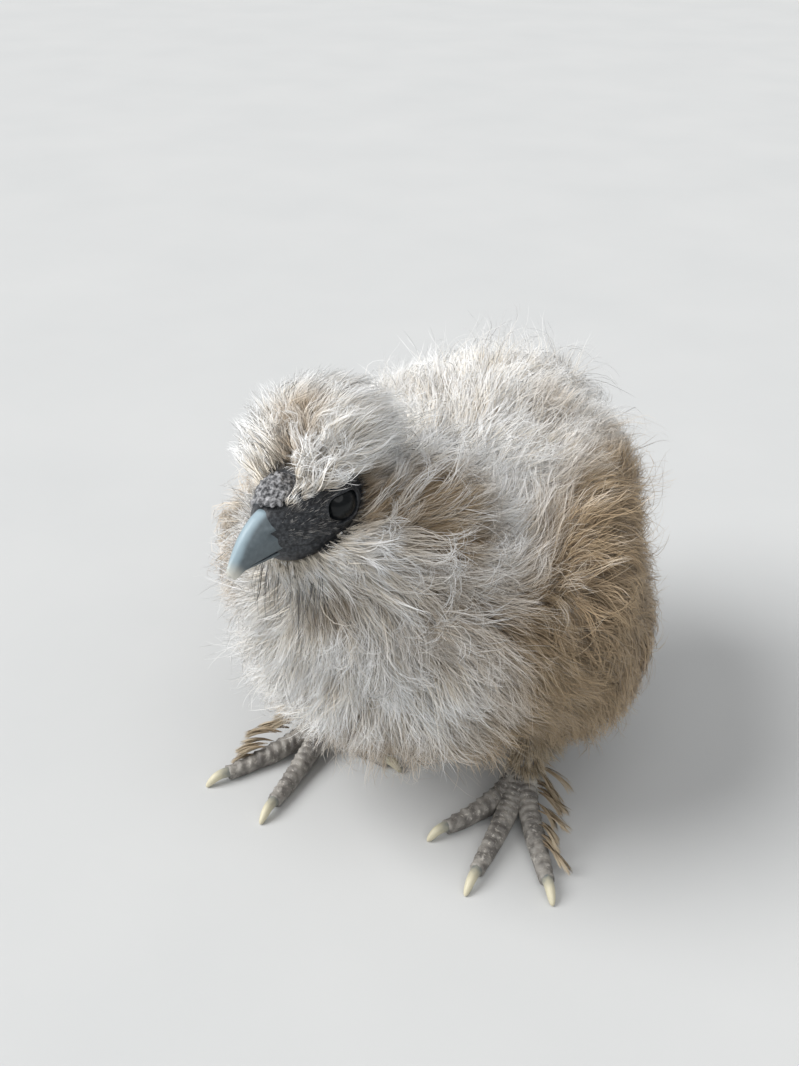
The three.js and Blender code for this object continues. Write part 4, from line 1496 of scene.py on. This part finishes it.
# %% Horn, comb and eye finishes
def beak_finish():
    finish = Finish("beak_horn")
    where = finish.place()
    aside, ahead, above = finish.on_head(where)
    # Paler ridge along the top of the beak: partly paler horn, partly a painted highlight.
    ridge = (aside * aside).step(6.0, 0.5) * (above - 0.75 * ahead).step(15.5, 19.0)
    tip = finish.blob(where, head_point(0, -31.2, -8.2), (3.2, 3.4, 4.0), 0.6)
    grain = finish.noise(where, 0.8, 4.0)
    base = finish.mix(grain, (0.06, 0.078, 0.087), (0.145, 0.18, 0.2))
    colour = finish.mix(ridge * 0.8, base, (0.36, 0.47, 0.53))
    colour = finish.mix(tip * 0.85, colour, (0.72, 0.70, 0.62))
    finish.set(Base_Color=colour, Roughness=0.35 + 0.2 * grain, Normal=finish.bump(grain, 0.05))
    return finish


def comb_finish():
    finish = Finish("comb_skin")
    where = finish.place()
    grain = finish.noise(where, 0.6, 5.0, 0.6)
    colour = finish.mix(grain.step(0.35, 0.7), (0.03, 0.031, 0.035), (0.42, 0.42, 0.43))
    finish.set(Base_Color=colour, Roughness=0.7 - 0.15 * grain, Normal=finish.bump(grain, 0.15))
    return finish


def eye_finish():
    finish = Finish("eye_wet")
    where = finish.place()
    grain = finish.noise(where, 0.8, 3.0)
    colour = finish.mix(grain, (0.002, 0.003, 0.004), (0.006, 0.008, 0.009))
    finish.set(Base_Color=colour, Roughness=0.3 + 0.1 * grain, Specular_IOR_Level=0.1)
    finish.set(Coat_Weight=0.8, Coat_Roughness=0.03, Coat_IOR=1.3)
    return finish


def claw_finish():
    finish = Finish("claw_horn")
    where = finish.place()
    along = finish.node("ShaderNodeUVMap", {"uv_map": "Along"}, {}).part("Y")
    grain = finish.noise(where, 0.9, 3.0)
    shade = (along + 0.25 * (grain - 0.5)).step(0.08, 0.62)
    colour = finish.mix(shade, (0.15, 0.175, 0.19), (0.66, 0.62, 0.46))
    colour = finish.mix(grain * 0.35, colour, (0.36, 0.31, 0.2))
    finish.set(Base_Color=colour, Roughness=0.38 + 0.2 * grain, Normal=finish.bump(grain, 0.05))
    return finish


horn = beak_finish()
wear(beak_upper, horn)
wear(beak_lower, horn)
wear(comb, comb_finish())
wet = eye_finish()
for piece in eyes.values():
    wear(piece, wet)
ivory = claw_finish()
for piece in claws.values():
    wear(piece, ivory)

# %% [markdown]
# ## What stands for what
# Every piece rides on the one body of a still model, and the solids that it replaces are
# hidden.

# %% Riding and replacing
FLESH = ("head", "neck", "torso", "tail", "wing", "thigh", "shank", "toe")
SKIN_NODES = [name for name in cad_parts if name.split("_")[0] in FLESH]


def stands_for(piece, slot, *nodes):
    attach(piece, "root")
    if nodes:
        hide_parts(*nodes)


stands_for(skin, "plume", *SKIN_NODES)
for piece in (*coat.values(), *foot_plumes, bristles, hairs):
    stands_for(piece, "plume")
stands_for(beak_upper, "beak", "beak_upper")
stands_for(beak_lower, "beak", "beak_lower")
stands_for(comb, "comb", "comb")
for side, piece in eyes.items():
    stands_for(piece, "eye", f"eye_{side}")
for node, piece in claws.items():
    stands_for(piece, "claw", node)
print("the skin replaces", len(SKIN_NODES), "nodes")

# %% [markdown]
# ## Floor, light and camera
# A plain pale floor, one big soft light high on the viewer's left, a weaker one from in front,
# and a pale sky for the shade. The camera looks down on the bird from in front of its left
# shoulder.

# %% Floor and light
FLOOR_HALF = 4000.0
AZIMUTH, ELEVATION = math.radians(25), math.radians(31)
VIEW_RIGHT = np.array([math.cos(AZIMUTH), math.sin(AZIMUTH), 0])
VIEW_BACK = np.array([-VIEW_RIGHT[1], VIEW_RIGHT[0], 0])


def floor_piece():
    corners = FLOOR_HALF * np.array([[-1, -1, 0], [1, -1, 0], [1, 1, 0], [-1, 1, 0]])
    piece = mesh_piece("floor", corners, [(0, 1, 2, 3)], soft=False)
    finish = Finish("floor_paint")
    where = finish.place()
    patches = finish.noise(where, 60, 4.0)
    finish.set(Base_Color=finish.mix(patches, (0.54, 0.55, 0.55), (0.6, 0.605, 0.6)), Roughness=0.8)
    wear(piece, finish)
    return piece


floor = floor_piece()
floor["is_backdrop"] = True


def sun(name, right, back, up, wide, strength):
    """A soft sun that shines from a way given by the view: right, back and up."""
    lamp = bpy.data.lights.new(name, "SUN")
    lamp.angle = math.radians(wide)
    lamp.energy = strength
    light = link(name, lamp)
    way = VIEW_RIGHT * right + VIEW_BACK * back + np.array([0, 0, up])
    light.location = Vector(to_frame(way * 500))
    light.rotation_euler = Vector(way).to_track_quat("Z", "Y").to_euler()
    return light


sun("key", -0.85, -0.1, 0.85, 40, 3.2)
sun("fill", 0.2, -0.7, 1.1, 60, 1.15)
world = bpy.data.worlds.new("pale_sky")
world.use_nodes = True
sky = world.node_tree.nodes["Background"].inputs
sky["Color"].default_value = (0.97, 0.98, 1.0, 1)
sky["Strength"].default_value = 0.3
bpy.context.scene.world = world
bpy.context.scene.view_settings.view_transform = "Standard"

# %% Camera
CAMERA_AT = np.array([129.76, -302.24, 289.0])
UPRIGHT_VIEW = math.radians(47)
back = np.array([
    math.sin(AZIMUTH) * math.cos(ELEVATION),
    -math.cos(AZIMUTH) * math.cos(ELEVATION),
    math.sin(ELEVATION),
])
right = unit(np.cross([0, 0, 1], back))
lens = bpy.data.cameras.new("camera")
lens.sensor_width = 36.0
lens.lens = 18.0 / math.tan(UPRIGHT_VIEW / 2)
camera = link("camera", lens)
camera.matrix_world = Matrix(np.block([
    [np.column_stack([right, np.cross(back, right), back]), to_frame(CAMERA_AT)[:, None]],
    [np.zeros((1, 3)), np.ones((1, 1))],
]))
bpy.context.scene.camera = camera

# %% [markdown]
# ## Sizes
# The dressed bird has to stay inside the imported part's box, but for the coat's outer fluff.
# Both boxes are printed.

# %% Sizes and the end
visual_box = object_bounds()
sizes = {
    "cad": [[float(v) for v in corner] for corner in cad_box],
    "visual": [[float(v) for v in corner] for corner in visual_box],
}
for title, box in sizes.items():
    print(title, "box in mm", [round(v * 1000, 1) for corner in box for v in corner])
